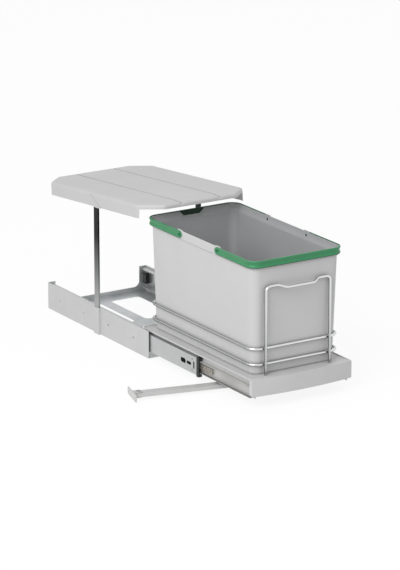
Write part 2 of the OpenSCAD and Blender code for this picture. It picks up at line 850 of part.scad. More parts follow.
// Bin with drafted walls, a rim band that rises a little over each handle pin, and two notches
module bin_shell() {
    color(bin_grey) difference() {
        union() {
            drafted(0, bin_foot_z, rim_z + cut);
            translate([0, -bin_mid, rim_z]) linear_extrude(rim_h) difference() {
                round_rect(rim_half_w, rim_half_l, rim_corner_r);
                round_rect(wall_half_w - bin_wall, wall_half_l - bin_wall, rim_corner_r - rim_t - bin_wall);
            }
            for (side = [-1, 1], end = [-1, 1]) on_side(side)
                translate([0, -bin_mid + end * handle_pivot, bin_top])
                    box([rim_half_w - bin_wall, -rise_len / 2, -rise_h], [rim_half_w, rise_len / 2, rise_h]);
        }
        drafted(bin_wall, bin_foot_z + bin_floor_t, rim_z + 2 * cut);
        for (end = [-1, 1]) {
            y = -bin_mid + end * rim_half_l;
            notch(y - 2 * rim_t - bin_wall, y + 2 * rim_t + bin_wall);
            translate([0, -bin_mid + end * handle_pivot, handle_z])
                round_x(-handle_half_w, handle_half_w, handle_pin_r);
        }
    }
}

// Pin on which a handle turns, fixed in the bin's rim
module handle_pin(side, end) {
    color(bin_grey) on_side(side) translate([0, -bin_mid + end * handle_pivot, handle_z])
        round_x(rim_half_w - handle_pin_bed, handle_half_w + handle_pin_out, handle_pin_r);
}

// Handle: a band with two ridges that runs round one end of the bin from pivot to pivot
module handle(end) {
    color(green) translate([0, -bin_mid, handle_z]) mirror([0, end < 0 ? 1 : 0, 0]) difference() {
        union() {
            band_ring(band_t, -handle_h / 2, handle_h / 2);
            for (s = [-1, 1]) {
                z = s * (handle_h / 2 - ridge_in);
                band_ring(handle_t, z - ridge_h / 2, z + ridge_h / 2);
                on_side(s) translate([0, handle_pivot, 0])
                    round_x(rim_half_w + run_gap, handle_half_w, handle_h / 2);
            }
        }
        translate([0, handle_pivot, 0])
            round_x(-handle_half_w - cut, handle_half_w + cut, handle_pin_r + pin_gap);
    }
}

// The part of a ring round the rim that lies past the pivots
module band_ring(t, z0, z1) {
    hx = rim_half_w + run_gap;
    hy = rim_half_l + run_gap;
    translate([0, 0, z0]) linear_extrude(z1 - z0) difference() {
        round_rect(hx + t, hy + t, handle_r);
        round_rect(hx, hy, handle_r - t);
        translate([-hx - t - cut, -hy - t - cut]) square([2 * (hx + t + cut), hy + t + cut + handle_pivot]);
    }
}

// Places what is drawn round the lid's pivot, with the lid level, at the lid's tilt
module at_lid() {
    translate([0, pivot_y, pivot_z]) rotate([-lid_tilt, 0, 0]) children();
}

// Headed pin through lug, rocker and post
module lid_pin(side) {
    color(steel) at_lid() on_side(side) {
        round_x(lug_in - run_gap, post_out - run_gap, pivot_pin_r);
        round_x(lug_in - run_gap - pin_head_t, lug_in - run_gap, pin_head_r);
    }
}

// Rocker on the pin that tips with the tray's travel and carries the lid's front
module lid_rocker(side) {
    top = lid_under - roof_gap;
    color(dark_steel) at_lid() on_side(side) along_x(rocker_in, rocker_out) difference() {
        union() {
            circle(rocker_r);
            translate([-rocker_reach, top - rocker_bar]) square([rocker_reach, rocker_bar]);
        }
        circle(pivot_pin_r);
    }
}

// Lug under the lid's top with the lid's bore
module lid_lug(side) {
    color(lid_grey) at_lid() on_side(side) along_x(lug_in, lug_out) difference() {
        union() {
            circle(lug_r);
            translate([-lug_r, 0]) square([2 * lug_r, lid_under]);
        }
        circle(pivot_pin_r + pin_gap);
    }
}

// Outline of the lid seen from above
module lid_outline(inset) {
    translate([0, (lid_rear - lid_front) / 2])
        round_rect(fit_half - inset, (lid_front + lid_rear) / 2 - inset, lid_corner_r - inset);
}

// The solid under the lid's rounded top edge, from z0 up
module lid_block(inset, z0, z1) {
    translate([0, 0, z0]) linear_extrude(z1 - edge_r - z0) lid_outline(inset);
    hull() for (s = edge_shares)
        translate([0, 0, z1 - s[1] * edge_r]) linear_extrude(0.01 * skirt_t)
            lid_outline(inset + s[0] * edge_r, $fn = hull_fn);
}

// Lower edge of the side skirt, drawn in Y and Z: what lies under it is cut away
module skirt_cut() {
    low = lid_top - skirt_deep;
    high = lid_top - skirt_short;
    step = short_len - lid_front;
    polygon([
        [-lid_front - cut, low - bulge_deep - cut],
        [-lid_front - cut, high],
        [step, high],
        [step + short_slope, low],
        [bulge_side_y - bulge_len / 2, low],
        [bulge_side_y, low - bulge_deep],
        [bulge_side_y + bulge_len / 2, low],
        [lid_rear + cut, low],
        [lid_rear + cut, low - bulge_deep - cut]
    ]);
}

// Lid: a thin shell with a deep skirt, a shallow front and two grooves along its top
module lid_shell() {
    color(lid_grey) at_lid() difference() {
        lid_block(0, lid_top - skirt_deep - bulge_deep, lid_top);
        lid_block(skirt_t, lid_top - skirt_deep - bulge_deep - cut, lid_under);
        along_x(-fit_half - cut, fit_half + cut) skirt_cut();
        for (s = [-1, 1]) {
            box([s * groove_x - groove_w / 2, -lid_front - cut, lid_top - groove_d],
                [s * groove_x + groove_w / 2, lid_rear + cut, lid_top + cut]);
            translate([s * groove_x, groove_end_len / 2 - lid_front + edge_r, lid_top - groove_d])
                linear_extrude(groove_d + cut)
                    round_rect(groove_end_w / 2, groove_end_len / 2, groove_w / 2);
        }
    }
}

floor_plate();
rear_wall();
side_panel(-1);  // left_side_panel
side_panel(1);  // right_side_panel
post(-1);  // left_post
post(1);  // right_post
slide_outer(-1);  // left_slide_outer
slide_outer(1);  // right_slide_outer
rear_stop(-1);  // left_rear_stop
rear_stop(1);  // right_rear_stop
outer_cage(-1);  // left_outer_cage
outer_cage(1);  // right_outer_cage
slide_middle(-1);  // left_slide_middle
slide_middle(1);  // right_slide_middle
front_bumper(-1);  // left_front_bumper
front_bumper(1);  // right_front_bumper
inner_cage(-1);  // left_inner_cage
inner_cage(1);  // right_inner_cage
slide_inner(-1);  // left_slide_inner
slide_inner(1);  // right_slide_inner
slide_latch(-1);  // left_slide_latch
slide_latch(1);  // right_slide_latch
tray_screws(-1);  // left_tray_screws
tray_screws(1);  // right_tray_screws
tray_pan();
tray_fascia();
lower_rail();
upper_rail();
front_loop();
rear_strut(-1);  // left_rear_strut
rear_strut(1);  // right_rear_strut
arm_mount();
arm_pin();
door_arm();
door_bracket();
bracket_pin();
bin_shell();
handle_pin(-1, -1);  // left_front_pin
handle_pin(1, -1);  // right_front_pin
handle_pin(-1, 1);  // left_rear_pin
handle_pin(1, 1);  // right_rear_pin
handle(-1);  // front_handle
handle(1);  // rear_handle
lid_pin(-1);  // left_lid_pin
lid_pin(1);  // right_lid_pin
lid_rocker(-1);  // left_lid_rocker
lid_rocker(1);  // right_lid_rocker
lid_lug(-1);  // left_lid_lug
lid_lug(1);  // right_lid_lug
lid_shell();
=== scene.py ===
"""Looks of the pull out waste bin unit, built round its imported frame.

Every length in this file is in millimetres and becomes metres when a mesh is made.
"""

import json
import logging
import math
from collections.abc import Callable
from dataclasses import dataclass, field
from enum import Enum

import bmesh
import bpy
from mathutils import Matrix, Vector

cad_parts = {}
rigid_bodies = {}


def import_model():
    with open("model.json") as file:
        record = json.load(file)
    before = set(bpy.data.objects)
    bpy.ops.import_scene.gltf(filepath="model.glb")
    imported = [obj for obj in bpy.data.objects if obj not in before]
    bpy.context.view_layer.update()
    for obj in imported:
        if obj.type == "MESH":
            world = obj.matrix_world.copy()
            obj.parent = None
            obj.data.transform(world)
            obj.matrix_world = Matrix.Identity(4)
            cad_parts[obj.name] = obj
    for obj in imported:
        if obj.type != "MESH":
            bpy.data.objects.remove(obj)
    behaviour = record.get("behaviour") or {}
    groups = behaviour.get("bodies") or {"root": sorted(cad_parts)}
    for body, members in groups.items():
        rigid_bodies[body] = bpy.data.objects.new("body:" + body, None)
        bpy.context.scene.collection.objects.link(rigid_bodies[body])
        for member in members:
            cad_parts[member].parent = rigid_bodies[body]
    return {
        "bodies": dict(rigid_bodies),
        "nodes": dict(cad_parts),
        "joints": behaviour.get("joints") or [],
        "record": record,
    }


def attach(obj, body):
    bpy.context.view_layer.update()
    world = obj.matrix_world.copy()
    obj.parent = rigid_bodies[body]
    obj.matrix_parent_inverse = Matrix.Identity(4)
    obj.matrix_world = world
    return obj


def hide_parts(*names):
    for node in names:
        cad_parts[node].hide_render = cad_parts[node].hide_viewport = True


LOG = logging.getLogger("waste_bin_unit")
MM = 0.001
# Differences under this many millimetres, or this share, count as none
TINY = 1e-6
# Corners closer than this many millimetres become one
MERGE = 1e-3
# Edges of most pieces that bend by more than this many degrees stay sharp
SHARP = 40.0
# How far a face has to point along an axis to count as looking that way
SLIGHTLY, PARTLY, MOSTLY, FULLY = 0.3, 0.5, 0.7, 0.9
# Noise values that a finish's clouds, and its finer grain, spread over their whole range
CLOUD_LOW, CLOUD_HIGH = 0.12, 0.42
GRAIN_LOW, GRAIN_HIGH = 0.25, 0.75
# Levels of detail of the same two noises
CLOUD_DETAIL, GRAIN_DETAIL = 2.0, 3.0

Point = tuple[float, float, float]
Flat = tuple[float, float]
Places = tuple[float, ...]
# Two lengths and the angle of an edge's normal
Edge = tuple[float, float, float]
Tree = bpy.types.NodeTree
Node = bpy.types.Node
Socket = bpy.types.NodeSocket
Mesh = bpy.types.Mesh
Piece = bpy.types.Object


class Way(Enum):
    """A named way along an axis, as the sign of a place there."""

    @property
    def word(self) -> str:
        """The way's name as the frame's nodes use it."""
        return self.name.lower()


class Side(Way):
    """Which side of the unit a piece belongs to, along X."""

    LEFT = -1
    RIGHT = 1


class End(Way):
    """Which end of the bin a piece belongs to, along Y."""

    FRONT = -1
    REAR = 1


def linear(code: str) -> tuple[float, float, float, float]:
    """Turns an sRGB hex colour into the linear colour that a shader takes.

    Args:
        code: The colour as "#rrggbb".

    Returns:
        Red, green, blue and alpha.
    """
    shares = [int(code[i : i + 2], 16) / 255 for i in (1, 3, 5)]
    low, slope, lift, power = 0.04045, 12.92, 0.055, 2.4
    plain = [s / slope if s <= low else ((s + lift) / (1 + lift)) ** power for s in shares]
    return plain[0], plain[1], plain[2], 1.0


def add_node(tree: Tree, kind: str, inputs: dict | None = None, **settings) -> Node:
    """Adds a node, sets its settings and fills its inputs with values or links.

    Args:
        tree: The tree that gets the node.
        kind: The node's type.
        inputs: A value or another node's output for each input, by name or number.
        **settings: The node's own settings.

    Returns:
        The new node.
    """
    node = tree.nodes.new(kind)
    for name, value in settings.items():
        setattr(node, name, value)
    for key, value in (inputs or {}).items():
        if isinstance(value, Socket):
            tree.links.new(value, node.inputs[key])
        else:
            node.inputs[key].default_value = value
    return node


def blank_tree(owner: bpy.types.Material | bpy.types.World) -> Tree:
    """Turns on the nodes of a material or world and empties its tree.

    Args:
        owner: The material or world.

    Returns:
        The empty tree.
    """
    owner.use_nodes = True
    owner.node_tree.nodes.clear()
    return owner.node_tree


def add_object(name: str, data: bpy.types.ID) -> Piece:
    """Adds an object that holds a mesh, camera or lamp to the scene.

    Args:
        name: The object's name.
        data: The mesh, camera or lamp.

    Returns:
        The object.
    """
    added = bpy.data.objects.new(name, data)
    bpy.context.scene.collection.objects.link(added)
    return added


@dataclass(frozen=True)
class Finish:
    """A surface: its two tones, its gloss and the fine relief that its making left."""

    name: str
    colour: str
    tone: str
    metallic: float = 0.0
    roughness: float = 0.5
    spread: float = 0.06
    mottle: float = 45.0
    grain: Point = (1.2, 1.2, 1.2)
    relief: float = 0.02
    specular: float = 0.5

    def material(self) -> bpy.types.Material:
        """Makes the material once and gives it back every time.

        Returns:
            The material.
        """
        ready = bpy.data.materials.get(self.name)
        if ready:
            return ready
        made = bpy.data.materials.new(self.name)
        tree = blank_tree(made)
        place = add_node(tree, "ShaderNodeTexCoord").outputs["Object"]
        shader = add_node(
            tree,
            "ShaderNodeBsdfPrincipled",
            {
                "Base Color": self.shade(tree, place),
                "Metallic": self.metallic,
                "Roughness": self.gloss(tree, place),
                "Specular IOR Level": self.specular,
                "Normal": self.surface(tree, place),
            },
        )
        add_node(tree, "ShaderNodeOutputMaterial", {"Surface": shader.outputs["BSDF"]})
        return made

    def grain_noise(self, tree: Tree, place: Socket) -> Socket:
        """Noise whose grains have the finish's own size along X, Y and Z.

        Args:
            tree: The material's tree.
            place: Object coordinates.

        Returns:
            The noise, from 0 to 1.
        """
        scale = tuple(1 / (g * MM) for g in self.grain)
        drawn = add_node(tree, "ShaderNodeMapping", {"Vector": place, "Scale": scale}).outputs[0]
        look = {"Vector": drawn, "Scale": 1.0, "Detail": GRAIN_DETAIL}
        noise = add_node(tree, "ShaderNodeTexNoise", look)
        return noise.outputs["Fac"]

    def shade(self, tree: Tree, place: Socket) -> Socket:
        """Colour: the two tones, mixed in soft clouds with a trace of the grain.

        Args:
            tree: The material's tree.
            place: Object coordinates.

        Returns:
            The colour.
        """
        look = {"Vector": place, "Scale": 1 / (self.mottle * MM), "Detail": CLOUD_DETAIL}
        clouds = add_node(tree, "ShaderNodeTexNoise", look)
        both = {0: clouds.outputs["Fac"], 1: self.grain_noise(tree, place)}
        mixed = add_node(tree, "ShaderNodeMath", both, operation="MULTIPLY").outputs[0]
        reach = {"Value": mixed, "From Min": CLOUD_LOW, "From Max": CLOUD_HIGH}
        return self.two_tones(tree, add_node(tree, "ShaderNodeMapRange", reach).outputs[0])

    def two_tones(self, tree: Tree, share: Socket) -> Socket:
        """A ramp from the darker tone to the main colour.

        Args:
            tree: The material's tree.
            share: Where on the ramp, from 0 to 1.

        Returns:
            The colour there.
        """
        ramp = add_node(tree, "ShaderNodeValToRGB", {"Fac": share})
        ramp.color_ramp.elements[0].color = linear(self.tone)
        ramp.color_ramp.elements[1].color = linear(self.colour)
        return ramp.outputs["Color"]

    def gloss(self, tree: Tree, place: Socket) -> Socket:
        """Roughness that wanders a little, as handling and making leave it.

        Args:
            tree: The material's tree.
            place: Object coordinates.

        Returns:
            The roughness.
        """
        reach = {"Value": self.grain_noise(tree, place), "From Min": GRAIN_LOW, "From Max": GRAIN_HIGH}
        reach |= {"To Min": self.roughness - self.spread, "To Max": self.roughness + self.spread}
        return add_node(tree, "ShaderNodeMapRange", reach).outputs[0]

    def surface(self, tree: Tree, place: Socket) -> Socket:
        """Fine relief from the same grain.

        Args:
            tree: The material's tree.
            place: Object coordinates.

        Returns:
            The normal with its relief.
        """
        grain = self.grain_noise(tree, place)
        relief = {"Height": grain, "Distance": self.relief * MM, "Strength": 1.0}
        return add_node(tree, "ShaderNodeBump", relief).outputs["Normal"]


@dataclass(frozen=True)
class PostFinish(Finish):
    """Polished steel with a painted reflection that runs from dark at its head to bright at its foot, as the
    photograph shows.
    """

    # The painted reflection: its colour at the foot, the heights it spans, and where its dark head and middle
    # tone start
    foot: str = "#a9aaaa"
    head_z: float = 290.0
    foot_z: float = 70.0
    dark_from: float = 0.68
    middle_at: float = 0.4

    def shade(self, tree: Tree, place: Socket) -> Socket:
        """Colour: a painted reflection, as a ramp up the post.

        Args:
            tree: The material's tree.
            place: Object coordinates.

        Returns:
            The colour.
        """
        height = add_node(tree, "ShaderNodeSeparateXYZ", {0: place}).outputs["Z"]
        reach = {"Value": height, "From Min": self.foot_z * MM, "From Max": self.head_z * MM}
        share = add_node(tree, "ShaderNodeMapRange", reach).outputs[0]
        ramp = add_node(tree, "ShaderNodeValToRGB", {"Fac": share})
        steps = ramp.color_ramp.elements
        steps[0].color = linear(self.foot)
        steps[1].color = linear(self.colour)
        steps[1].position = self.dark_from
        steps.new(self.middle_at).color = linear(self.tone)
        return ramp.outputs["Color"]


@dataclass(frozen=True)
class WireFinish(Finish):
    """Chrome on wire with a painted reflection: bright on the side that faces the room's light and painted
    dark underneath.
    """

    # The painted reflection: its dark underside, the way whose side is painted bright, and the attribute that
    # keeps each corner's facing
    under: str = "#2c2d2e"
    bright_way: Point = (-0.15, -0.90, 0.40)
    facing: str = "wire_facing"
    reach: float = 0.75
    middle_at: float = 0.5

    def mark(self, mesh: Mesh) -> None:
        """Keeps on each corner of a wire how far it faces the bright way, as an attribute for the painted
        reflection.

        Args:
            mesh: The wire's mesh.
        """
        bright = Vector(self.bright_way)
        kept = mesh.attributes.new(self.facing, "FLOAT", "POINT")
        kept.data.foreach_set("value", [corner.normal.dot(bright) for corner in mesh.vertices])

    def shade(self, tree: Tree, place: Socket) -> Socket:
        """Colour: a painted reflection, as a ramp round the wire by the attribute that mark() keeps.

        Args:
            tree: The material's tree.
            place: Object coordinates, which this colour doesn't need.

        Returns:
            The colour.
        """
        facing = add_node(tree, "ShaderNodeAttribute", attribute_name=self.facing).outputs["Fac"]
        reach = {"Value": facing, "From Min": -self.reach, "From Max": self.reach}
        share = add_node(tree, "ShaderNodeMapRange", reach).outputs[0]
        ramp = add_node(tree, "ShaderNodeValToRGB", {"Fac": share})
        steps = ramp.color_ramp.elements
        steps[0].color = linear(self.under)
        steps[1].color = linear(self.colour)
        steps.new(self.middle_at).color = linear(self.tone)
        return ramp.outputs["Color"]


# Sizes of a grain along X, Y and Z. Orange peel has its real size. The grain of moulded plastic and
# the lines of drawn or polished steel are about 0.1 mm wide, and are drawn coarser here to show at all
COAT_PEEL = (1.5, 1.5, 1.5)
FINE = (0.9, 0.9, 0.9)
DRAWN = (0.5, 40.0, 0.9)
POLISHED = (6.0, 0.6, 60.0)

# Powder coated sheet steel: an even light grey with a faint orange peel of about 1.5 mm
PANEL_COAT = Finish(
    "powder_coated_panel", "#cfcfcf", "#c9c9c9", roughness=0.45, grain=COAT_PEEL, relief=0.02
)
# Zinc plated sheet steel: darker, half glossy, with soft clouds where the plating varies
ZINC_SHEET = Finish(
    "zinc_plated_sheet", "#d2d5d6", "#bec1c2", metallic=0.65, roughness=0.38, mottle=30.0
)
# Roll formed slide steel: drawn lines run along the slide, and the face is bright
DRAWN_STEEL = Finish(
    "drawn_slide_steel", "#c5c7c7", "#babcbc", metallic=0.8, roughness=0.34, mottle=60.0,
    grain=DRAWN, relief=0.003,
)
# Tray members: the same steel with a duller, paler plating
PALE_STEEL = Finish(
    "pale_slide_steel", "#c9c8c6", "#bdbcba", metallic=0.3, roughness=0.4, mottle=60.0,
    grain=DRAWN, relief=0.006,
)
# Spring steel latch: warm grey from its heat treatment, in small darker clouds
LATCH_STEEL = Finish("latch_steel", "#cfc8bf", "#857d73", metallic=0.5, roughness=0.35, mottle=4.0)
# Bright plated screws and pins
PLATED_SCREW = Finish("plated_screw", "#b9bbbc", "#9a9c9d", metallic=0.9, roughness=0.3, mottle=4.0)
# Chrome plated wire: mirror bright, with a slight haze, and a painted reflection that is dark underneath
WIRE_CHROME_REFLECTION = WireFinish(
    "chrome_plated_wire", "#dcdddd", "#7b7d7d", metallic=1.0, roughness=0.14, spread=0.04, relief=0.003
)
# Painted shade on the upper side of the tray members' lower flange, in the shadow under the slide: the steel
# painted darker
FLANGE_PAINTED_SHADE = Finish(
    "greased_slide_steel", "#8a8b8c", "#757677", metallic=0.6, roughness=0.3, mottle=18.0
)
# Enamelled steel tray: even light grey, half matt
TRAY_ENAMEL = Finish(
    "enamelled_tray", "#d2d2d2", "#cccccc", roughness=0.42, grain=COAT_PEEL, relief=0.02
)
# Link arm: pale lacquer over steel
ARM_LACQUER = Finish("lacquered_arm", "#d2d2d1", "#cacac9", metallic=0.1, roughness=0.4)
# Moulded polypropylene of the bin: pale grey with a fine spark eroded texture
BIN_PLASTIC = Finish(
    "bin_polypropylene", "#cfcfcf", "#cacaca", roughness=0.5, mottle=80.0, grain=FINE, relief=0.03
)
# The inside of the bin, where its core left a duller face, painted darker for the shade inside it
BIN_PAINTED_SHADE = Finish(
    "bin_inside_polypropylene", "#b1b2b3", "#aaabac", roughness=0.6, mottle=80.0, grain=FINE, relief=0.03
)
# The same plastic on the lid, a touch cooler
LID_PLASTIC = Finish(
    "lid_polypropylene", "#cdcdcd", "#c8c8c8", roughness=0.48, mottle=90.0, grain=FINE, relief=0.03
)
# Painted shade in the bottoms of the lid's grooves and creases
LID_PAINTED_SHADE = Finish("lid_groove_bottom", "#b2b2b2", "#ababab", roughness=0.6, mottle=20.0)
# Green polypropylene of the handles, half glossy
HANDLE_PLASTIC = Finish("handle_polypropylene", "#348d5b", "#2e8353", roughness=0.38, mottle=30.0)
# Painted shade, near black: the handles' inner face, which lies against the rim and sees little light, their
# lowest edge and the ends of the pins inside the bin
HANDLE_PAINTED_SHADE = Finish("handle_inside_polypropylene", "#10351f", "#0c2a19", mottle=30.0)
# The pins are moulded from a darker green
PIN_PLASTIC = Finish("pin_polypropylene", "#2c7a50", "#256a45", roughness=0.4, mottle=5.0)
# Dark nylon of the bumpers, greyed by wear
BUMPER_NYLON = Finish("bumper_nylon", "#1f2022", "#18191b", mottle=8.0)
# Black nylon of the rear stops
BLACK_NYLON = Finish("black_nylon", "#1b1c1e", "#131416", roughness=0.45, mottle=8.0)
# Painted shade: a dull black sheet behind the slots that stands in for the shadow seen through them
SLOT_PAINTED_SHADE = Finish(
    "retainer_strip_nylon", "#0c0d0e", "#08090a", roughness=0.8, mottle=8.0, specular=0.1
)
# Lid posts: polished flat steel with a painted reflection, dark at the head and bright at the foot
POLISHED_POST_REFLECTION = PostFinish(
    "polished_post_steel", "#0f100f", "#6b6d6c", metallic=1.0, roughness=0.25,
    grain=POLISHED, relief=0.006,
)
# Rockers: the same steel, left duller
ROCKER_STEEL = Finish("rocker_steel", "#6d7072", "#5a5d5f", metallic=0.8, roughness=0.35, mottle=10.0)


@dataclass
class MeshMaker:
    """Collects corners and faces in millimetres and makes one mesh object of them."""

    corners: list[Point] = field(default_factory=list)
    faces: list[tuple[int, ...]] = field(default_factory=list)

    def ring(self, points: list[Point]) -> list[int]:
        """Adds a row of corners and gives back their numbers.

        Args:
            points: The corners.

        Returns:
            Their numbers.
        """
        first = len(self.corners)
        self.corners.extend(points)
        return list(range(first, len(self.corners)))

    def bridge(self, low: list[int], high: list[int], closed: bool = True) -> None:
        """Joins two rows of equal length with four sided faces.

        Args:
            low: Corner numbers of one row.
            high: Those of the other.
            closed: Whether the rows are rings.
        """
        count = len(low)
        for i in range(count if closed else count - 1):
            j = (i + 1) % count
            self.faces.append((low[i], low[j], high[j], high[i]))

    def cap(self, ring: list[int]) -> None:
        """Closes a ring with one face."""
        self.faces.append(tuple(ring))

    def loft(self, rings: list[list[Point]]) -> None:
        """Joins rings in order, and closes the first and last one.

        Args:
            rings: The corners of each ring.
        """
        rows = [self.ring(points) for points in rings]
        for low, high in zip(rows, rows[1:]):
            self.bridge(low, high)
        self.cap(rows[0])
        self.cap(rows[-1])

    def make(self, name: str, finish: Finish, turn: Matrix | None = None, sharp: float = SHARP) -> Piece:
        """Makes the object at the origin, with faces outward and edges over an angle kept sharp.

        Args:
            name: The piece's name.
            finish: Its surface.
            turn: A place and turn in millimetres that is applied to the corners.
            sharp: Edges that bend by more than this many degrees stay sharp.

        Returns:
            The object.
        """
        mesh = bpy.data.meshes.new(name)
        placed = [(turn @ Vector(c) if turn else Vector(c)) * MM for c in self.corners]
        mesh.from_pydata(placed, [], self.faces)
        mesh.materials.append(finish.material())
        settle(mesh, sharp)
        return add_object(name, mesh)


def settle(mesh: Mesh, sharp: float, turn_out: bool = True) -> None:
    """Merges doubles, turns faces outward and shades the mesh smooth up to an angle.

    Args:
        mesh: The mesh.
        sharp: The angle in degrees.
        turn_out: Whether its faces may be turned. Those of a CAD node already look outward.
    """
    work = bmesh.new()
    work.from_mesh(mesh)
    bmesh.ops.remove_doubles(work, verts=work.verts, dist=MERGE * MM)
    bmesh.ops.dissolve_degenerate(work, edges=work.edges, dist=0.1 * MERGE * MM)
    if turn_out:
        bmesh.ops.recalc_face_normals(work, faces=work.faces)
    for face in work.faces:
        face.smooth = True
    for edge in work.edges:
        edge.smooth = len(edge.link_faces) == 2 and edge.calc_face_angle(0.0) < math.radians(sharp)
    work.to_mesh(mesh)
    work.free()


def second_finish(piece: Piece, finish: Finish, picks: Callable[[Vector, Vector], bool]) -> None:
    """Gives some of a piece's faces a finish of their own.

    Args:
        piece: The piece.
        finish: The other finish.
        picks: Says for a face's middle in millimetres and its direction whether it gets that finish.
    """
    mesh = piece.data
    mesh.materials.append(finish.material())
    for face in mesh.polygons:
        if picks(face.center / MM, face.normal):
            face.material_index = len(mesh.materials) - 1


def outline(
    hx: float, hy: float, r: float, steps: int, across: Places = (), along: Places = ()
) -> list[Flat]:
    """Points round a rectangle with round corners, anticlockwise from the rear end's right.

    Args:
        hx: Half width.
        hy: Half length.
        r: Corner radius.
        steps: Faces in each corner.
        across: Extra places across each end, from left to right.
        along: Extra places along each side, from front to rear.

    Returns:
        The points, always as many for the same steps and places.
    """
    rear = [(x, hy) for x in reversed(across)]
    left = [(-hx, y) for y in reversed(along)]
    front = [(x, -hy) for x in across]
    right = [(hx, y) for y in along]
    points: list[Flat] = []
    for i, (sx, sy, straight) in enumerate([(1, 1, rear), (-1, 1, left), (-1, -1, front), (1, -1, right)]):
        for k in range(steps + 1):
            a = math.radians(90 * i + 90 * k / steps)
            points.append((sx * (hx - r) + r * math.cos(a), sy * (hy - r) + r * math.sin(a)))
        points += straight
    return points


def arc_share(step: int, steps: int) -> Flat:
    """Sine and cosine of a step of a quarter turn."""
    a = math.radians(90 * step / steps)
    return math.sin(a), math.cos(a)


class Trees:
    """Geometry Nodes trees of this object: items on points, and a wire along a path."""

    @staticmethod
    def start(name: str, **inputs: str) -> tuple[Tree, Node]:
        """Starts a tree with its geometry and its named inputs.

        Args:
            name: The tree's name.
            **inputs: The kind of each input, by its name.

        Returns:
            The tree and its input node.
        """
        tree = bpy.data.node_groups.new(name, "GeometryNodeTree")
        for label, kind in {"Geometry": "Geometry", **inputs}.items():
            tree.interface.new_socket(label, in_out="INPUT", socket_type=f"NodeSocket{kind}")
        tree.interface.new_socket("Geometry", in_out="OUTPUT", socket_type="NodeSocketGeometry")
        return tree, add_node(tree, "NodeGroupInput")

    @staticmethod
    def end(tree: Tree, shape: Socket, finish: Socket) -> None:
        """Ends a tree: real mesh, its finish, and out.

        Args:
            tree: The tree.
            shape: Its geometry.
            finish: Its material input.
        """
        real = add_node(tree, "GeometryNodeRealizeInstances", {"Geometry": shape}).outputs[0]
        dressed = add_node(tree, "GeometryNodeSetMaterial", {"Geometry": real, "Material": finish})
        add_node(tree, "NodeGroupOutput", {"Geometry": dressed.outputs[0]})

    @classmethod
    def items(cls) -> Tree:
        """Tree that sets one item on each point of the mesh it is given.

        Returns:
            The tree, which is made once.
        """
        name = "items_on_points"
        if name in bpy.data.node_groups:
            return bpy.data.node_groups[name]
        tree, node = cls.start(name, Item="Object", Size="Float", Finish="Material")
        given = node.outputs
        item = add_node(tree, "GeometryNodeObjectInfo", {"Object": given["Item"]}).outputs["Geometry"]
        spots = {"Points": given[0], "Instance": item, "Scale": given["Size"]}
        placed = add_node(tree, "GeometryNodeInstanceOnPoints", spots)
        cls.end(tree, placed.outputs[0], given["Finish"])
        return tree

    @classmethod
    def wire(cls) -> Tree:
        """Tree that draws a round wire along the edges it is given.

        Returns:
            The tree, which is made once.
        """
        name = "wire_on_path"
        if name in bpy.data.node_groups:
            return bpy.data.node_groups[name]
        tree, node = cls.start(name, Radius="Float", Sides="Int", Finish="Material")
        given = node.outputs
        path = add_node(tree, "GeometryNodeMeshToCurve", {"Mesh": given[0]}).outputs[0]
        size = {"Resolution": given["Sides"], "Radius": given["Radius"]}
        section = add_node(tree, "GeometryNodeCurvePrimitiveCircle", size).outputs[0]
        sweep = {"Curve": path, "Profile Curve": section, "Fill Caps": True}
        drawn = add_node(tree, "GeometryNodeCurveToMesh", sweep)
        cls.end(tree, drawn.outputs[0], given["Finish"])
        return tree

    @staticmethod
    def bake(name: str, mesh: Mesh, tree: Tree, values: dict) -> Piece:
        """Runs a tree on a mesh and keeps the result as a plain mesh.

        Args:
            name: The piece's name.
            mesh: What the tree is given.
            tree: The tree.
            values: Its inputs by name.

        Returns:
            The piece.
        """
        piece = add_object(name, mesh)
        modifier = piece.modifiers.new("build", "NODES")
        modifier.node_group = tree
        for item in tree.interface.items_tree:
            if item.in_out == "INPUT" and item.name in values:
                modifier[item.identifier] = values[item.name]
        graph = bpy.context.evaluated_depsgraph_get()
        graph.update()
        plain = bpy.data.meshes.new_from_object(piece.evaluated_get(graph))
        piece.modifiers.remove(modifier)
        piece.data = plain
        plain.name = name
        settle(plain, SHARP)
        return piece


def path_mesh(name: str, points: list[Point], closed: bool) -> Mesh:
    """A mesh of the edges of a path, in metres.

    Args:
        name: The mesh's name.
        points: The path in millimetres.
        closed: Whether its end joins its start.

    Returns:
        The mesh.
    """
    mesh = bpy.data.meshes.new(name)
    last = len(points) - 1
    edges = [(i, i + 1) for i in range(last)] + ([(last, 0)] if closed else [])
    mesh.from_pydata([Vector(p) * MM for p in points], edges, [])
    return mesh


def eased_path(points: list[Point], radii: list[float], steps: int = 8) -> list[Point]:
    """Rounds the inner corners of a path with arcs.

    Args:
        points: The path's corners.
        radii: A bend radius for each inner corner.
        steps: Pieces in each arc.

    Returns:
        The path with its arcs.
    """
    eased: list[Point] = [points[0]]
    for before, here, after, radius in zip(points, points[1:], points[2:], radii):
        corner = Vector(here)
        back = (Vector(before) - corner).normalized()
        ahead = (Vector(after) - corner).normalized()
        half = back.angle(ahead) / 2
        reach = radius / math.tan(half)
        centre = corner + (back + ahead).normalized() * (radius / math.sin(half))
        start = corner + back * reach - centre
        end = corner + ahead * reach - centre
        axis = start.cross(end).normalized()
        swing = start.angle(end)
        for k in range(steps + 1):
            eased.append(tuple(centre + Matrix.Rotation(swing * k / steps, 3, axis) @ start))
    return eased + [points[-1]]


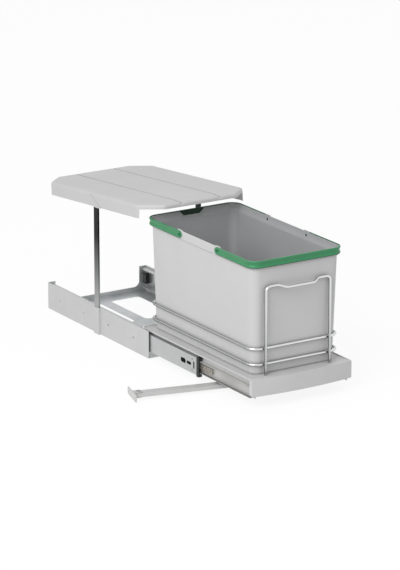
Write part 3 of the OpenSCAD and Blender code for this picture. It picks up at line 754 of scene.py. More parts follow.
@dataclass
class Unit:
    """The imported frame, the pieces made so far and the angles that easing a CAD node goes by."""

    frame: dict
    made: list[str] = field(default_factory=list)
    flat: float = math.radians(0.5)
    crisp: float = math.radians(38)
    smooth: float = 20.0

    def dress(self, node: str, finish: Finish) -> None:
        """Gives a CAD node that stays as it is a finish.

        Args:
            node: The CAD node.
            finish: Its surface.
        """
        held = self.frame["nodes"][node]
        for slot in held.material_slots:
            slot.material = finish.material()
        self.made.append(node)
        LOG.info("dressed %s", node)

    def stand_in(self, piece: Piece, body: str, *nodes: str) -> None:
        """Lets a piece ride on a body in the place of CAD nodes.

        Args:
            piece: The piece.
            body: The body.
            *nodes: The CAD nodes.
        """
        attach(piece, body)
        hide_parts(*nodes)
        self.made.append(piece.name)
        LOG.info("made %s on %s", piece.name, body)

    def extra(self, piece: Piece, body: str) -> None:
        """Lets a piece ride on a body beside the CAD nodes.

        Args:
            piece: The piece.
            body: The body.
        """
        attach(piece, body)
        self.made.append(piece.name)
        LOG.info("added %s on %s", piece.name, body)

    def eased(self, node: str, body: str, finish: Finish, ease: float) -> Piece:
        """Copies a CAD node, breaks its sharp edges as real sheet and mouldings have, and replaces it.

        Args:
            node: The CAD node.
            body: Its body.
            finish: Its surface.
            ease: Width of the broken edge.

        Returns:
            The piece.
        """
        mesh = self.frame["nodes"][node].data.copy()
        work = bmesh.new()
        work.from_mesh(mesh)
        bmesh.ops.remove_doubles(work, verts=work.verts, dist=MERGE * MM)
        bmesh.ops.dissolve_limit(
            work, angle_limit=self.flat, verts=work.verts, edges=work.edges, use_dissolve_boundaries=False
        )
        paired = [edge for edge in work.edges if len(edge.link_faces) == 2]
        bmesh.ops.bevel(
            work, geom=[edge for edge in paired if edge.calc_face_angle(0.0) > self.crisp],
            offset=ease * MM, offset_type="OFFSET", segments=2, profile=0.5, affect="EDGES",
            clamp_overlap=False,
        )
        bmesh.ops.triangulate(work, faces=[face for face in work.faces if len(face.verts) > 4])
        open_edges = sum(1 for edge in work.edges if len(edge.link_faces) != 2)
        work.to_mesh(mesh)
        work.free()
        mesh.materials.clear()
        mesh.materials.append(finish.material())
        settle(mesh, self.smooth, turn_out=False)
        piece = add_object(f"{node}_finished", mesh)
        if open_edges:
            LOG.warning("%s has %d open edges", node, open_edges)
        self.stand_in(piece, body, node)
        return piece


@dataclass
class Lid:
    """The moulded lid, its lugs and the rockers and pins that carry it."""

    half_w: float = 132.0
    front: float = 218.7
    rear: float = 232.3
    top: float = 14.45
    deep: float = 29.0
    short: float = 10.0
    short_len: float = 40.0
    slope: float = 1.7
    wall: float = 1.2
    roof: float = 2.0
    front_cut: float = 43.0
    rear_cut: float = 40.0
    vertex_r: float = 14.0
    edge: float = 6.0
    tilt: float = 5.1
    pivot: Point = (0.0, 209.0, 300.0)
    groove_x: float = 47.7
    groove_half: float = 1.9
    groove_deep: float = 1.4
    groove_end: float = 12.0
    groove_wide: float = 3.2
    bulge_y: float = -6.5
    bulge_half: float = 21.5
    bulge_deep: float = 2.5
    crease_y: float = 15.5
    crease_lean: float = 1.68
    crease_step: float = 0.4
    fade: float = 78.0
    crease_w: float = 3.0
    fixed_x: float = 60.0
    line_half: float = 2.0
    arc_steps: int = 5
    slant_steps: int = 9
    skirt_steps: int = 6
    side_columns: int = 6
    lean_tries: int = 6
    slant: float = 45.0
    # How strongly a slant's rows crowd towards its end, and the angles of the last rows of its bend
    row_crowd: float = 1.5
    bend_rows: Places = (20.0, 10.0)
    # How far a groove's flare reaches, how round its bottom is, and how slowly a side's dent fades
    flare_reach: float = 1.6
    groove_round: float = 0.6
    dent_fade: float = 1.6
    # Share of Y from which a direction belongs to an end, and where the painted shade line of a side lies
    end_way: float = 0.999
    line_reach: float = 0.4
    line_zone: float = 0.6
    side_band: float = 3.0
    sharp: float = 50.0
    middle_x: Places = (0.0, 10.0, 20.0, 30.0, 38.0)
    groove_cuts: Places = (0.0, 0.1, 0.25, 0.45, 0.7, 1.0)
    front_rows: Places = (-160, -148, -135, -118, -100, -84, -68, -52, -40, -30, -20, -12, -5, 2, 8, 12)
    rear_rows: Places = (21, 27, 34, 42, 52, 66, 82, 98, 116, 134, 152, 168)

    def row_x(self, half: float) -> list[float]:
        """X of every column in a row: true X in the middle, then even shares out to the half width.

        Args:
            half: The row's half width.

        Returns:
            The places, from left to right.
        """
        spread = self.groove_half + self.groove_wide
        cuts = [-c for c in reversed(self.groove_cuts[1:])] + list(self.groove_cuts)
        right = [*self.middle_x, *(self.groove_x + c * spread for c in cuts), self.fixed_x]
        count = self.side_columns
        right += [self.fixed_x + (half - self.fixed_x) * k / count for k in range(1, count + 1)]
        return [-x for x in reversed(right[1:])] + right

    def corner_reach(self, cut: float) -> float:
        """Distance from a corner at which its rounding ends, for a corner with the given cut."""
        return cut + self.vertex_r * math.tan(math.radians(self.slant / 2))

    def corner_rows(self, cut: float, marks: Places = ()) -> list[Edge]:
        """Rows of one slanted corner.

        Args:
            cut: Length that is cut off.
            marks: Distances from the end at which the rounding next to the side gets a row.

        Returns:
            Each row's distance from the end, half width, and its normal's angle from the side.
        """
        inner = self.vertex_r - self.edge
        side = self.corner_reach(cut)
        end_x = self.half_w - side
        slant = math.radians(self.slant)
        turns = [math.radians(90 - self.slant * k / self.arc_steps) for k in range(self.arc_steps + 1)]
        made = [(self.vertex_r - inner * math.sin(a), end_x + inner * math.cos(a), a) for a in turns]
        deep, half = made[-1][:2]
        run = side - inner * math.sin(slant) - deep
        for k in range(1, self.slant_steps):
            share = run * (k / self.slant_steps) ** self.row_crowd
            made.append((deep + share, half + share, slant))
        bends = [math.asin((side - mark) / self.vertex_r) for mark in marks]
        for a in (slant, *bends, *map(math.radians, self.bend_rows)):
            made.append((side - inner * math.sin(a), self.half_w - self.vertex_r + inner * math.cos(a), a))
        return made

    def rows(self) -> list[Edge]:
        """Each row: its Y, the half width there and the angle of the edge's normal.

        Returns:
            The rows, from front to rear.
        """
        nose = self.corner_rows(self.front_cut, (self.short_len, self.short_len + self.slope))
        tail = self.corner_rows(self.rear_cut)
        crease = (self.crease_y, self.crease_y + self.crease_w)
        first = self.corner_reach(self.front_cut) - self.front
        last = self.rear - self.corner_reach(self.rear_cut)
        made = [(d - self.front, half, -a) for d, half, a in nose]
        plain = (first, *self.front_rows, *crease, *self.rear_rows, last)
        made += [(y, self.half_w - self.edge, 0.0) for y in plain]
        return made + [(self.rear - d, half, a) for d, half, a in reversed(tail)]

    def groove(self, x: float, y: float) -> float:
        """Depth of the two grooves at a place on the top.

        Args:
            x: The place's X.
            y: Its Y.

        Returns:
            The depth, which is 0 beside the grooves.
        """
        from_end = abs(y + self.front - self.edge - self.groove_end / 2)
        flare = min(1.0, self.flare_reach * max(0.0, 1 - from_end / self.groove_end))
        share = abs(abs(x) - self.groove_x) / (self.groove_half + self.groove_wide * flare)
        if share >= 1:
            return 0.0
        return self.groove_deep * (0.5 + 0.5 * math.cos(math.pi * share)) ** self.groove_round

    def low_edge(self, y: float) -> float:
        """Height of the skirt's lower edge along the lid.

        Args:
            y: A place along the lid.

        Returns:
            The height there.
        """
        step = self.short_len - self.front
        if y <= step:
            return self.top - self.short
        drop = min(1.0, (y - step) / self.slope) * (self.deep - self.short)
        bulge = max(0.0, 1 - abs(y - self.bulge_y) / self.bulge_half) * self.bulge_deep
        return self.top - self.short - drop - bulge

    def rim(self, deep: float, inset: float) -> list[list[Point]]:
        """Rings down the skirt from the rounded edge.

        Args:
            deep: Depth under the top where the skirt starts.
            inset: How far inside the outline the rings lie.

        Returns:
            The rings, from the top down.
        """
        rings = []
        top = self.top - deep
        for k in range(1, self.skirt_steps + 1):
            ring = []
            for x, y, angle in self.edge_points():
                nx, ny = math.cos(angle) * math.copysign(1.0, x), math.sin(angle)
                side = abs(ny) < TINY
                lean = max(0.0, 1 - abs(y - self.crease_y) / self.fade) * self.crease_lean if side else 0.0
                shift = 0.0
                for _ in range(self.lean_tries):
                    low = self.low_edge(y + ny * self.edge + shift)
                    here = top + (low - top) * k / self.skirt_steps
                    shift = lean * (here - top)
                dent = 0.0
                if side and y > self.crease_y:
                    dent = self.crease_step * max(0.0, 1 - (y - self.crease_y) / (self.dent_fade * self.fade))
                out = self.edge - inset - dent
                ring.append((x + nx * out, y + shift + ny * out, here))
            rings.append(ring)
        return rings

    def edge_points(self) -> list[Edge]:
        """Points round the flat top: X, Y and the angle of the normal, in order.

        Returns:
            The points, anticlockwise from the front left.
        """
        rows = self.rows()
        first, last = rows[0], rows[-1]
        quarter = math.pi / 2
        points = [(x, first[0], -quarter) for x in self.row_x(first[1])]
        points += [(half, y, angle) for y, half, angle in rows[1:-1]]
        points += [(x, last[0], quarter) for x in reversed(self.row_x(last[1]))]
        points += [(-half, y, angle) for y, half, angle in reversed(rows[1:-1])]
        return points

    def face(self, maker: MeshMaker, z: float, grooved: bool) -> list[int]:
        """Adds the grid of the flat top or the flat underside and gives back its edge ring.

        Args:
            maker: The lid's mesh.
            z: Height of the flat.
            grooved: Whether it has the grooves.

        Returns:
            Corner numbers of the ring.
        """
        grid = []
        for y, half, _ in self.rows():
            row = [(x, y, z - (self.groove(x, y) if grooved else 0.0)) for x in self.row_x(half)]
            grid.append(maker.ring(row))
        for low, high in zip(grid, grid[1:]):
            maker.bridge(low, high, closed=False)
        sides = grid[1:-1]
        return grid[0] + [row[-1] for row in sides] + grid[-1][::-1] + [row[0] for row in reversed(sides)]

    def rounded(self, drop: float, radius: float, inset: float, grooved: bool) -> list[list[Point]]:
        """Rings over the rounded edge, from the flat outward and down.

        Args:
            drop: Depth of the flat under the lid's top.
            radius: Radius of the rounding.
            inset: How far inside the outline the rounding ends.
            grooved: Whether the grooves run out over it.

        Returns:
            The rings, from the flat down.
        """
        rings = []
        for k in range(1, self.arc_steps + 1):
            s, c = arc_share(k, self.arc_steps)
            ring = []
            for x, y, angle in self.edge_points():
                nx, ny = math.cos(angle) * math.copysign(1.0, x), math.sin(angle)
                dip = self.groove(x, y) if grooved and abs(ny) > self.end_way else 0.0
                out = (self.edge - inset - radius) + radius * s - dip * s
                ring.append((x + nx * out, y + ny * out, self.top - drop - radius * (1 - c) - dip * c))
            rings.append(ring)
        return rings

    def moulding(self) -> Piece:
        """The lid: top with grooves, rounded edge, skirt, and the same again inside.

        Returns:
            The piece.
        """
        maker = MeshMaker()
        turn = Matrix.Translation(self.pivot) @ Matrix.Rotation(math.radians(-self.tilt), 4, "X")
        skins = []
        for drop, inset in ((0.0, 0.0), (self.roof, self.wall)):
            radius = self.edge - inset
            rings = self.rounded(drop, radius, inset, not drop) + self.rim(drop + radius, inset)
            skin = [self.face(maker, self.top - drop, not drop)] + [maker.ring(ring) for ring in rings]
            for low, high in zip(skin, skin[1:]):
                maker.bridge(low, high)
            skins.append(skin)
        maker.bridge(skins[0][-1], skins[1][-1])
        piece = maker.make("lid_moulding", LID_PLASTIC, turn, self.sharp)
        back = turn.inverted()

        def lined(middle: Vector, way: Vector) -> bool:
            """Whether a face lies at the bottom of a groove or in the crease of a side, where shade is
            painted.

            Args:
                middle: The face's middle in millimetres.
                way: Its direction.

            Returns:
                True if it does.
            """
            place = back @ middle
            if place.z > self.top - self.line_zone * self.edge:
                return way.z > PARTLY and abs(abs(place.x) - self.groove_x) < self.line_half
            shift = place.y - self.crease_y - self.crease_lean * (place.z - self.top + self.edge)
            inside = -self.line_reach < shift < self.crease_w + self.line_reach
            return inside and abs(place.x) > self.half_w - self.side_band

        # Painted shade in the groove bottoms and the side creases
        second_finish(piece, LID_PAINTED_SHADE, lined)
        return piece

    def build(self, unit: Unit) -> None:
        """Builds the lid and dresses what carries it.

        Args:
            unit: The unit that gets the pieces.
        """
        unit.stand_in(self.moulding(), "lid", "lid_shell")
        for side in Side:
            unit.eased(f"{side.word}_lid_lug", "lid", LID_PLASTIC, ease=0.4)
            unit.eased(f"{side.word}_lid_rocker", "rocker", ROCKER_STEEL, ease=0.3)
            unit.eased(f"{side.word}_lid_pin", "rocker", PLATED_SCREW, ease=0.3)


@dataclass
class Bin:
    """The moulded bin with its rim band, the tabs over its handle pins and its finger notches."""

    half_w: float = 101.0
    half_l: float = 194.0
    middle: float = -172.0
    foot: float = 60.3
    top: float = 303.5
    corner: float = 19.0
    draft: float = 1.4
    wall: float = 2.2
    floor: float = 2.5
    rim_h: float = 18.5
    rim_out: float = 3.1
    rim_corner: float = 21.0
    lip: float = 1.9
    lip_ease: float = 0.6
    notch_h: float = 12.0
    notch_top: float = 30.5
    notch_low: float = 20.0
    foot_r: float = 4.0
    pivot: float = 73.0
    rise_half: float = 9.0
    rise_h: float = 1.8
    rise_ease: float = 0.8
    handle_drop: float = 1.4
    under_deep: float = 0.9
    under_h: float = 1.6
    notch_mid: float = 8.0
    crown: float = 1.0
    corner_steps: int = 10
    foot_steps: int = 4
    climb_shares: Places = (0.05, 0.3, 0.65, 0.95)
    # The shadow line: how little it starts inside the wall, its lower step, its roof and the rim's underside
    skim: float = 0.04
    step_h: float = 0.1
    roof_h: float = 0.3
    rim_under: float = 0.8
    # The rim's outside: height over its foot, or under its top, and depth behind its face
    rim_foot: tuple[Flat, ...] = ((0.1, 0.6), (0.6, 0.0), (10.0, 0.0))
    rim_head: tuple[Flat, ...] = ((0.6, 0.0), (0.2, 0.2), (0.0, 0.7))
    # Its inside: depth of the lip's bend, height of its foot, and the ledge where it meets the wall
    lip_bend: float = 0.5
    lip_foot: float = 6.0
    ledge_h: float = 3.2
    ledge: float = 0.3

    def grow(self, z: float) -> float:
        """How far the drafted wall has grown at a height."""
        return (z - self.foot) * math.tan(math.radians(self.draft))

    def notch(self, x: float) -> float:
        """Depth of the finger notch across an end."""
        share = (self.notch_top - abs(x)) / (self.notch_top - self.notch_low)
        return self.notch_h * min(1.0, max(0.0, share))

    def rise(self, y: float) -> float:
        """Height that the rim gains at a place along a side, over the handle pins."""
        share = (self.rise_half - abs(abs(y) - self.pivot)) / self.rise_ease
        return self.rise_h * min(1.0, max(0.0, share))

    def ring(self, z: float, out: float, corner: float, cut: bool) -> list[Point]:
        """A ring round the bin at a height.

        Args:
            z: Height.
            out: How far it lies outside the foot's outline.
            corner: Corner radius.
            cut: Whether the finger notches bring it down.

        Returns:
            The ring's points.
        """
        half = (self.notch_mid, self.notch_low, self.notch_top)
        across = (*(-x for x in reversed(half)), *half)
        tab = [self.pivot + s * (self.rise_half - e) for s in (-1, 1) for e in (self.rise_ease, 0.0)]
        along = tuple(sorted(s * t for s in (-1, 1) for t in tab))
        rim_z = self.top - self.rim_h
        at_top = cut and z > self.top - self.crown
        made = []
        for x, y in outline(self.half_w + out, self.half_l + out, corner, self.corner_steps, across, along):
            high = z
            notch = self.notch(x)
            if cut and abs(y) > self.half_l + out - TINY and z > rim_z:
                high = rim_z + (z - rim_z) * (1 - notch / self.rim_h)
            elif at_top:
                high = z + self.rise(y)
            if at_top and abs(y) > self.pivot + self.rise_half - TINY:
                high -= self.handle_drop * (1 - notch / self.notch_h)
            made.append((x, y + self.middle, high))
        return made

    def profile(self) -> list[tuple[float, float, float, bool]]:
        """The wall's section from the foot up, over the rim and down inside, as arguments of ring().

        Returns:
            Height, distance outside the foot's outline, corner radius and cut of each ring.
        """
        rim_z = self.top - self.rim_h
        wall = self.grow(rim_z)
        rim = wall + self.rim_out
        under = wall - self.under_deep
        shoulder = self.corner - self.under_deep
        inside = self.corner - self.wall
        bends = [arc_share(k, self.foot_steps) for k in range(self.foot_steps + 1)]
        climb = [self.foot + share * (rim_z - self.foot) for share in self.climb_shares]
        rows = []
        for s, c in bends:
            back = self.foot_r * (1 - s)
            rows.append((self.foot + self.foot_r * (1 - c), -back, self.corner - back, False))
        rows += [(z, self.grow(z), self.corner, False) for z in climb[1:]]
        rows += [
            (rim_z - self.under_h, wall - self.skim, self.corner, False),
            (rim_z - self.under_h + self.step_h, under, shoulder, False),
            (rim_z + self.roof_h, under, shoulder, False),
            (rim_z + self.roof_h, rim - self.rim_under, self.rim_corner - self.rim_under, False),
        ]
        band = [(rim_z + high, back) for high, back in self.rim_foot]
        band += [(self.top - low, back) for low, back in self.rim_head]
        band += [(self.top, self.lip - self.lip_ease), (self.top - self.lip_bend, self.lip)]
        band.append((rim_z + self.lip_foot, self.lip + self.lip_ease))
        rows += [(z, rim - back, self.rim_corner - back, True) for z, back in band]
        rows.append((rim_z + self.ledge_h, wall - self.wall + self.ledge, inside + self.ledge, True))
        rows.append((rim_z - 1, wall - self.wall, inside, False))
        rows += [(z, self.grow(z) - self.wall, inside, False) for z in reversed(climb[:3])]
        for s, c in bends:
            back = self.foot_r * (1 - c)
            low = self.foot + self.floor + self.foot_r * (1 - s)
            rows.append((low, -self.wall - back, inside - back, False))
        return rows

    def moulding(self) -> Piece:
        """The bin as one closed shell, with a shadow line under its rim band.

        Returns:
            The piece.
        """
        maker = MeshMaker()
        maker.loft([self.ring(*row) for row in self.profile()])
        piece = maker.make("bin_moulding", BIN_PLASTIC)
        # The inside and its floor get painted shade
        second_finish(piece, BIN_PAINTED_SHADE, self.faces_in)
        return piece

    def faces_in(self, middle: Vector, way: Vector) -> bool:
        """Whether a face belongs to the inside of the bin, under its lip, and so gets painted shade.

        Args:
            middle: The face's middle in millimetres.
            way: Its direction.

        Returns:
            True if it does.
        """
        inward = way.x * middle.x + way.y * (middle.y - self.middle) < -1.0
        floor = way.z > PARTLY and middle.z < self.foot + 4 * self.foot_r
        return (inward or floor) and middle.z < self.top - self.crown

    def pin_end_in(self, middle: Vector, way: Vector) -> bool:
        """Whether a face is the end of a pin that looks into the bin, which gets painted shade."""
        return way.x * math.copysign(1, middle.x) < -MOSTLY

    def build(self, unit: Unit) -> None:
        """Builds the bin and dresses its pins.

        Args:
            unit: The unit that gets the pieces.
        """
        unit.stand_in(self.moulding(), "bin", "bin_shell")
        for side in Side:
            for end in End:
                pin = unit.eased(f"{side.word}_{end.word}_pin", "bin", PIN_PLASTIC, ease=0.25)
                # The pin ends inside the bin get painted shade
                second_finish(pin, HANDLE_PAINTED_SHADE, self.pin_end_in)


@dataclass
class Handles:
    """The two handles: bands with two rounded ridges that run round the bin's ends."""

    half_w: float = 109.89
    half_l: float = 202.89
    corner: float = 21.3
    middle: float = -172.0
    height: float = 295.5
    half_h: float = 7.7
    thick: float = 3.4
    web: float = 1.7
    pivot: float = 73.0
    ridge: float = 2.6
    end_steps: int = 9
    bend_steps: int = 14
    side_steps: int = 4
    # Shares of the thickness, and of the ridge's height, at the bends of a ridge
    ridge_depths: Flat = (0.75, 0.85)
    ridge_heights: Point = (0.5, 0.6, 1.3)
    # Share of the half height under the middle from which a face that looks down is the lowest edge, which
    # gets painted shade
    lowest: float = 0.75

    def section(self) -> list[Flat]:
        """The band's section: depth outward from the bin and height share from -1 to 1.

        Returns:
            The points, from the lower edge up.
        """
        ridge = self.ridge / self.half_h
        crown = 1 - ridge
        # Lower half: foot, rounded ridge and web. The upper half mirrors it
        foot, shoulder = self.ridge_depths
        low, high, end = self.ridge_heights
        points = [(0.0, -1.0), (self.thick * foot, -1.0), (self.thick, -1 + low * ridge)]
        points += [(self.thick, -crown), (self.thick * shoulder, -crown + high * ridge)]
        points += [(self.web, -crown + end * ridge)]
        return points + [(d, -h) for d, h in reversed(points)]

    def path(self) -> list[tuple[float, ...]]:
        """The run from pivot to pivot: X, Y, the normal and the height share.

        Returns:
            The places, from right to left.
        """
        tip = self.pivot - self.half_h
        straight = self.half_l - self.corner
        centre = self.half_w - self.corner
        ends = [arc_share(k, self.end_steps) for k in range(1, self.end_steps + 1)]
        right = [(self.half_w, tip + self.half_h * (1 - c), 1.0, 0.0, s) for s, c in ends]
        run = straight - self.pivot
        for k in range(1, self.side_steps):
            right.append((self.half_w, self.pivot + run * k / self.side_steps, 1.0, 0.0, 1.0))
        for k in range(self.bend_steps + 1):
            s, c = arc_share(k, self.bend_steps)
            right.append((centre + self.corner * c, straight + self.corner * s, c, s, 1.0))
        left = [(-x, y, -nx, ny, share) for x, y, nx, ny, share in reversed(right)]
        return [*right, (0.0, self.half_l, 0.0, 1.0, 1.0), *left]

    def band(self, end: End) -> Piece:
        """One handle.

        Args:
            end: The end of the bin that it runs round.

        Returns:
            The piece.
        """
        maker = MeshMaker()
        rings = []
        for x, y, nx, ny, share in self.path():
            tall = share * self.half_h
            place = [(x + nx * deep, end.value * (y + ny * deep), high) for deep, high in self.section()]
            rings.append([(u, self.middle + v, self.height + high * tall) for u, v, high in place])
        maker.loft(rings)
        piece = maker.make(f"{end.word}_handle_band", HANDLE_PLASTIC)
        # The inner face and the lowest edge get painted shade
        second_finish(piece, HANDLE_PAINTED_SHADE, self.faces_in)
        return piece

    def faces_in(self, middle: Vector, way: Vector) -> bool:
        """Whether a face of a band gets painted shade: it looks towards the bin, or is its lowest edge.

        Args:
            middle: The face's middle in millimetres.
            way: Its direction.

        Returns:
            True if it does.
        """
        deep = middle.y - self.middle
        if way.z < -SLIGHTLY and middle.z < self.height:
            return middle.z < self.height - self.lowest * self.half_h
        if math.hypot(way.x, way.y) <= FULLY:
            return False
        if abs(middle.x) < self.half_w - self.corner:
            return way.y * deep < 0
        if abs(deep) < self.half_l - self.corner:
            return way.x * middle.x < 0
        return way.x * middle.x + way.y * deep < 0

    def build(self, unit: Unit) -> None:
        """Builds both handles, each of which has a body and a node of the same name."""
        for end in End:
            unit.stand_in(self.band(end), f"{end.word}_handle", f"{end.word}_handle")


@dataclass
class WireWork:
    """The two rails, the front loop and the rear struts, all of one wire."""

    radius: float = 3.0
    sides: int = 16
    half_w: float = 106.55
    half_l: float = 198.95
    middle: float = -172.0
    corner: float = 23.0
    low_z: float = 82.4
    high_z: float = 115.6
    loop_y: float = -376.95
    loop_half: float = 78.0
    loop_top: float = 247.0
    loop_in: float = 34.0
    knee: float = 48.0
    out: float = 9.0
    drop: float = 5.0
    tray_z: float = 60.0
    bend: float = 10.0
    knee_bend: float = 16.0
    # Share of the radius at which a strut ends short of a rail's middle, and so inside the rail
    sink: float = 0.6
    rail_steps: int = 14
    strut_steps: int = 4

    def wire(self, name: str, points: list[Point], closed: bool) -> Piece:
        """Draws a wire along a path, in chrome.

        Args:
            name: The piece's name.
            points: The path.
            closed: Whether its end joins its start.

        Returns:
            The piece.
        """
        values = {"Radius": self.radius * MM, "Sides": self.sides, "Finish": WIRE_CHROME_REFLECTION.material()}
        drawn = Trees.bake(name, path_mesh(name, points, closed), Trees.wire(), values)
        # Keeps the facing that the painted reflection is drawn from
        WIRE_CHROME_REFLECTION.mark(drawn.data)
        return drawn

    def rail(self, name: str, z: float) -> Piece:
        """A closed rail round the bin."""
        flat = outline(self.half_w, self.half_l, self.corner, self.rail_steps)
        return self.wire(name, [(x, y + self.middle, z) for x, y in flat], True)

    def loop(self) -> Piece:
        """The front loop: two legs and a top whose middle is bent forward and down.

        Returns:
            The piece.
        """
        half = [
            (self.loop_half, self.loop_y, self.tray_z),
            (self.loop_half, self.loop_y, self.loop_top),
            (self.knee, self.loop_y, self.loop_top),
            (self.loop_in, self.loop_y - self.out, self.loop_top - self.drop),
        ]
        corners = half + [(-x, y, z) for x, y, z in reversed(half)]
        radii = [self.bend, *4 * [self.knee_bend], self.bend]
        return self.wire("front_loop_wire", eased_path(corners, radii), False)

    def struts(self, side: Side) -> Piece:
        """The short post behind the bin that carries both rails.

        Args:
            side: Its side.

        Returns:
            The piece.
        """
        x = side.value * self.loop_half
        y = self.middle + self.half_l
        gap = self.radius * self.sink
        flat = outline(self.radius, self.radius, self.radius, self.strut_steps)
        maker = MeshMaker()
        for ends in ((self.tray_z, self.low_z - gap), (self.low_z + gap, self.high_z - gap)):
            maker.loft([[(x + u, y + v, z) for u, v in flat] for z in ends])
        strut = maker.make(f"{side.word}_strut_wire", WIRE_CHROME_REFLECTION)
        WIRE_CHROME_REFLECTION.mark(strut.data)
        return strut

    def build(self, unit: Unit) -> None:
        """Builds every wire.

        Args:
            unit: The unit that gets the pieces.
        """
        for rail, z in (("lower_rail", self.low_z), ("upper_rail", self.high_z)):
            unit.stand_in(self.rail(f"{rail}_wire", z), "drawer", rail)
        unit.stand_in(self.loop(), "drawer", "front_loop")
        for side in Side:
            unit.stand_in(self.struts(side), "drawer", f"{side.word}_rear_strut")


@dataclass
class Tray:
    """The sheet metal tray, its curved front and the screws that hold it on the slides."""

    web_x: float = 112.8
    web_t: float = 1.2
    screw_z: float = 33.3
    slide_front: float = -384.0
    screw_at: Places = (6.0, 244.0, 354.0)
    shank: float = 2.0
    head: float = 3.6
    head_h: float = 1.9
    recess: float = 1.5
    turns: int = 24
    shank_len: float = 3.6
    head_flat: float = 0.7
    recess_deep: float = 0.9
    recess_foot: float = 0.7
    # The bend of the head: its share of the head's radius and its height, and the flat's share above it
    bend: float = 0.93
    bend_h: float = 1.3
    crown: float = 0.7
    # Reach of the recess between its arms, and the cosine under which that starts
    cross_in: float = 0.45
    cross_wide: float = 0.1

    def screw(self, side: Side) -> Piece:
        """One pan head screw with a cross recess, its head towards the cabinet side.

        Args:
            side: Its side.

        Returns:
            The screw, at the origin.
        """
        maker = MeshMaker()
        profile = [(self.shank, -self.shank_len), (self.shank, 0.0), (self.head, 0.0)]
        profile += [(self.head, self.head_flat), (self.head * self.bend, self.bend_h)]
        profile.append((self.head * self.crown, self.head_h))
        foot = self.recess * self.recess_foot
        cross = [(self.recess, self.head_h), (foot, self.head_h - self.recess_deep)]
        angles = [2 * math.pi * k / self.turns for k in range(self.turns)]
        rings = []
        for r, h in profile + cross:
            narrow = self.cross_in if (r, h) in cross else 1.0
            reach = [r * (narrow if math.cos(4 * a) <= self.cross_wide else 1.0) for a in angles]
            ring = [(side.value * h, u * math.cos(a), u * math.sin(a)) for u, a in zip(reach, angles)]
            rings.append(ring)
        maker.loft(rings)
        return maker.make("screw_pattern", PLATED_SCREW)

    def screws(self, side: Side) -> Piece:
        """The row of screws on one side.

        Args:
            side: Its side.

        Returns:
            The piece.
        """
        pattern = self.screw(side)
        x = side.value * (self.web_x + self.web_t)
        spots = bpy.data.meshes.new("screw_spots")
        places = [Vector((x, self.slide_front + y, self.screw_z)) * MM for y in self.screw_at]
        spots.from_pydata(places, [], [])
        values = {"Item": pattern, "Size": 1.0, "Finish": PLATED_SCREW.material()}
        row = Trees.bake(f"{side.word}_tray_screw_row", spots, Trees.items(), values)
        bpy.data.objects.remove(pattern)
        return row

    def build(self, unit: Unit) -> None:
        """Builds the tray's pieces.

        Args:
            unit: The unit that gets the pieces.
        """
        unit.eased("tray_pan", "drawer", TRAY_ENAMEL, ease=0.3)
        unit.eased("tray_fascia", "drawer", TRAY_ENAMEL, ease=0.4)
        for side in Side:
            unit.stand_in(self.screws(side), "drawer", f"{side.word}_tray_screws")


@dataclass
class Slides:
    """Both ball slides: fixed, middle and tray members, cages, bumpers, stops and latches."""

    ease: float = 0.25
    middle_z: float = 33.3
    flange_drop: float = 9.6
    strip_x: float = 121.85
    strip_t: float = 0.2
    strip_front: float = -172.0
    strip_rear: float = -120.0
    strip_half: float = 7.0
    strip_r: float = 2.0
    strip_steps: int = 4
    strip_sharp: float = 35.0

    def strip(self, side: Side) -> Piece:
        """A dark sheet behind the slots of a middle member, as painted shade for what shows through them.

        Args:
            side: Its side.

        Returns:
            The piece.
        """
        maker = MeshMaker()
        half_l = (self.strip_rear - self.strip_front) / 2
        centre = (self.strip_rear + self.strip_front) / 2
        flat = outline(half_l, self.strip_half, self.strip_r, self.strip_steps)
        faces_x = (self.strip_x, self.strip_x - self.strip_t)
        maker.loft([[(side.value * x, centre + u, self.middle_z + v) for u, v in flat] for x in faces_x])
        return maker.make(f"{side.word}_slot_strip", SLOT_PAINTED_SHADE, sharp=self.strip_sharp)

    def greased(self, middle: Vector, way: Vector) -> bool:
        """Whether a face is the upper side of the tray member's lower flange, which gets painted shade."""
        return way.z > MOSTLY and middle.z < self.middle_z - self.flange_drop

    def build(self, unit: Unit) -> None:
        """Dresses every member of both slides.

        Args:
            unit: The unit that gets the pieces.
        """
        for side in Side:
            word = side.word
            middle = f"{word}_middle"
            unit.eased(f"{word}_slide_outer", "frame", DRAWN_STEEL, self.ease)
            unit.eased(f"{word}_rear_stop", "frame", BLACK_NYLON, self.ease)
            unit.eased(f"{word}_slide_middle", middle, DRAWN_STEEL, self.ease)
            unit.eased(f"{word}_front_bumper", middle, BUMPER_NYLON, self.ease)
            inner = unit.eased(f"{word}_slide_inner", "drawer", PALE_STEEL, self.ease)
            # The lower flange gets painted shade
            second_finish(inner, FLANGE_PAINTED_SHADE, self.greased)
            unit.eased(f"{word}_slide_latch", "drawer", LATCH_STEEL, self.ease)
            # A sheet of painted shade behind the slots
            unit.extra(self.strip(side), middle)
            for cage in ("outer_cage", "inner_cage"):
                unit.dress(f"{word}_{cage}", ZINC_SHEET)


@dataclass
class FixedFrame:
    """The sheet metal frame that screws to the cabinet, and the two lid posts."""

    ease: float = 0.35

    def build(self, unit: Unit) -> None:
        """Dresses the sheets and the posts.

        Args:
            unit: The unit that gets the pieces.
        """
        for sheet in ("floor_plate", "rear_wall"):
            unit.eased(sheet, "frame", ZINC_SHEET, self.ease)
        for side in Side:
            unit.eased(f"{side.word}_side_panel", "frame", PANEL_COAT, self.ease)
            # The posts' colour is a painted reflection
            unit.eased(f"{side.word}_post", "frame", POLISHED_POST_REFLECTION, self.ease)


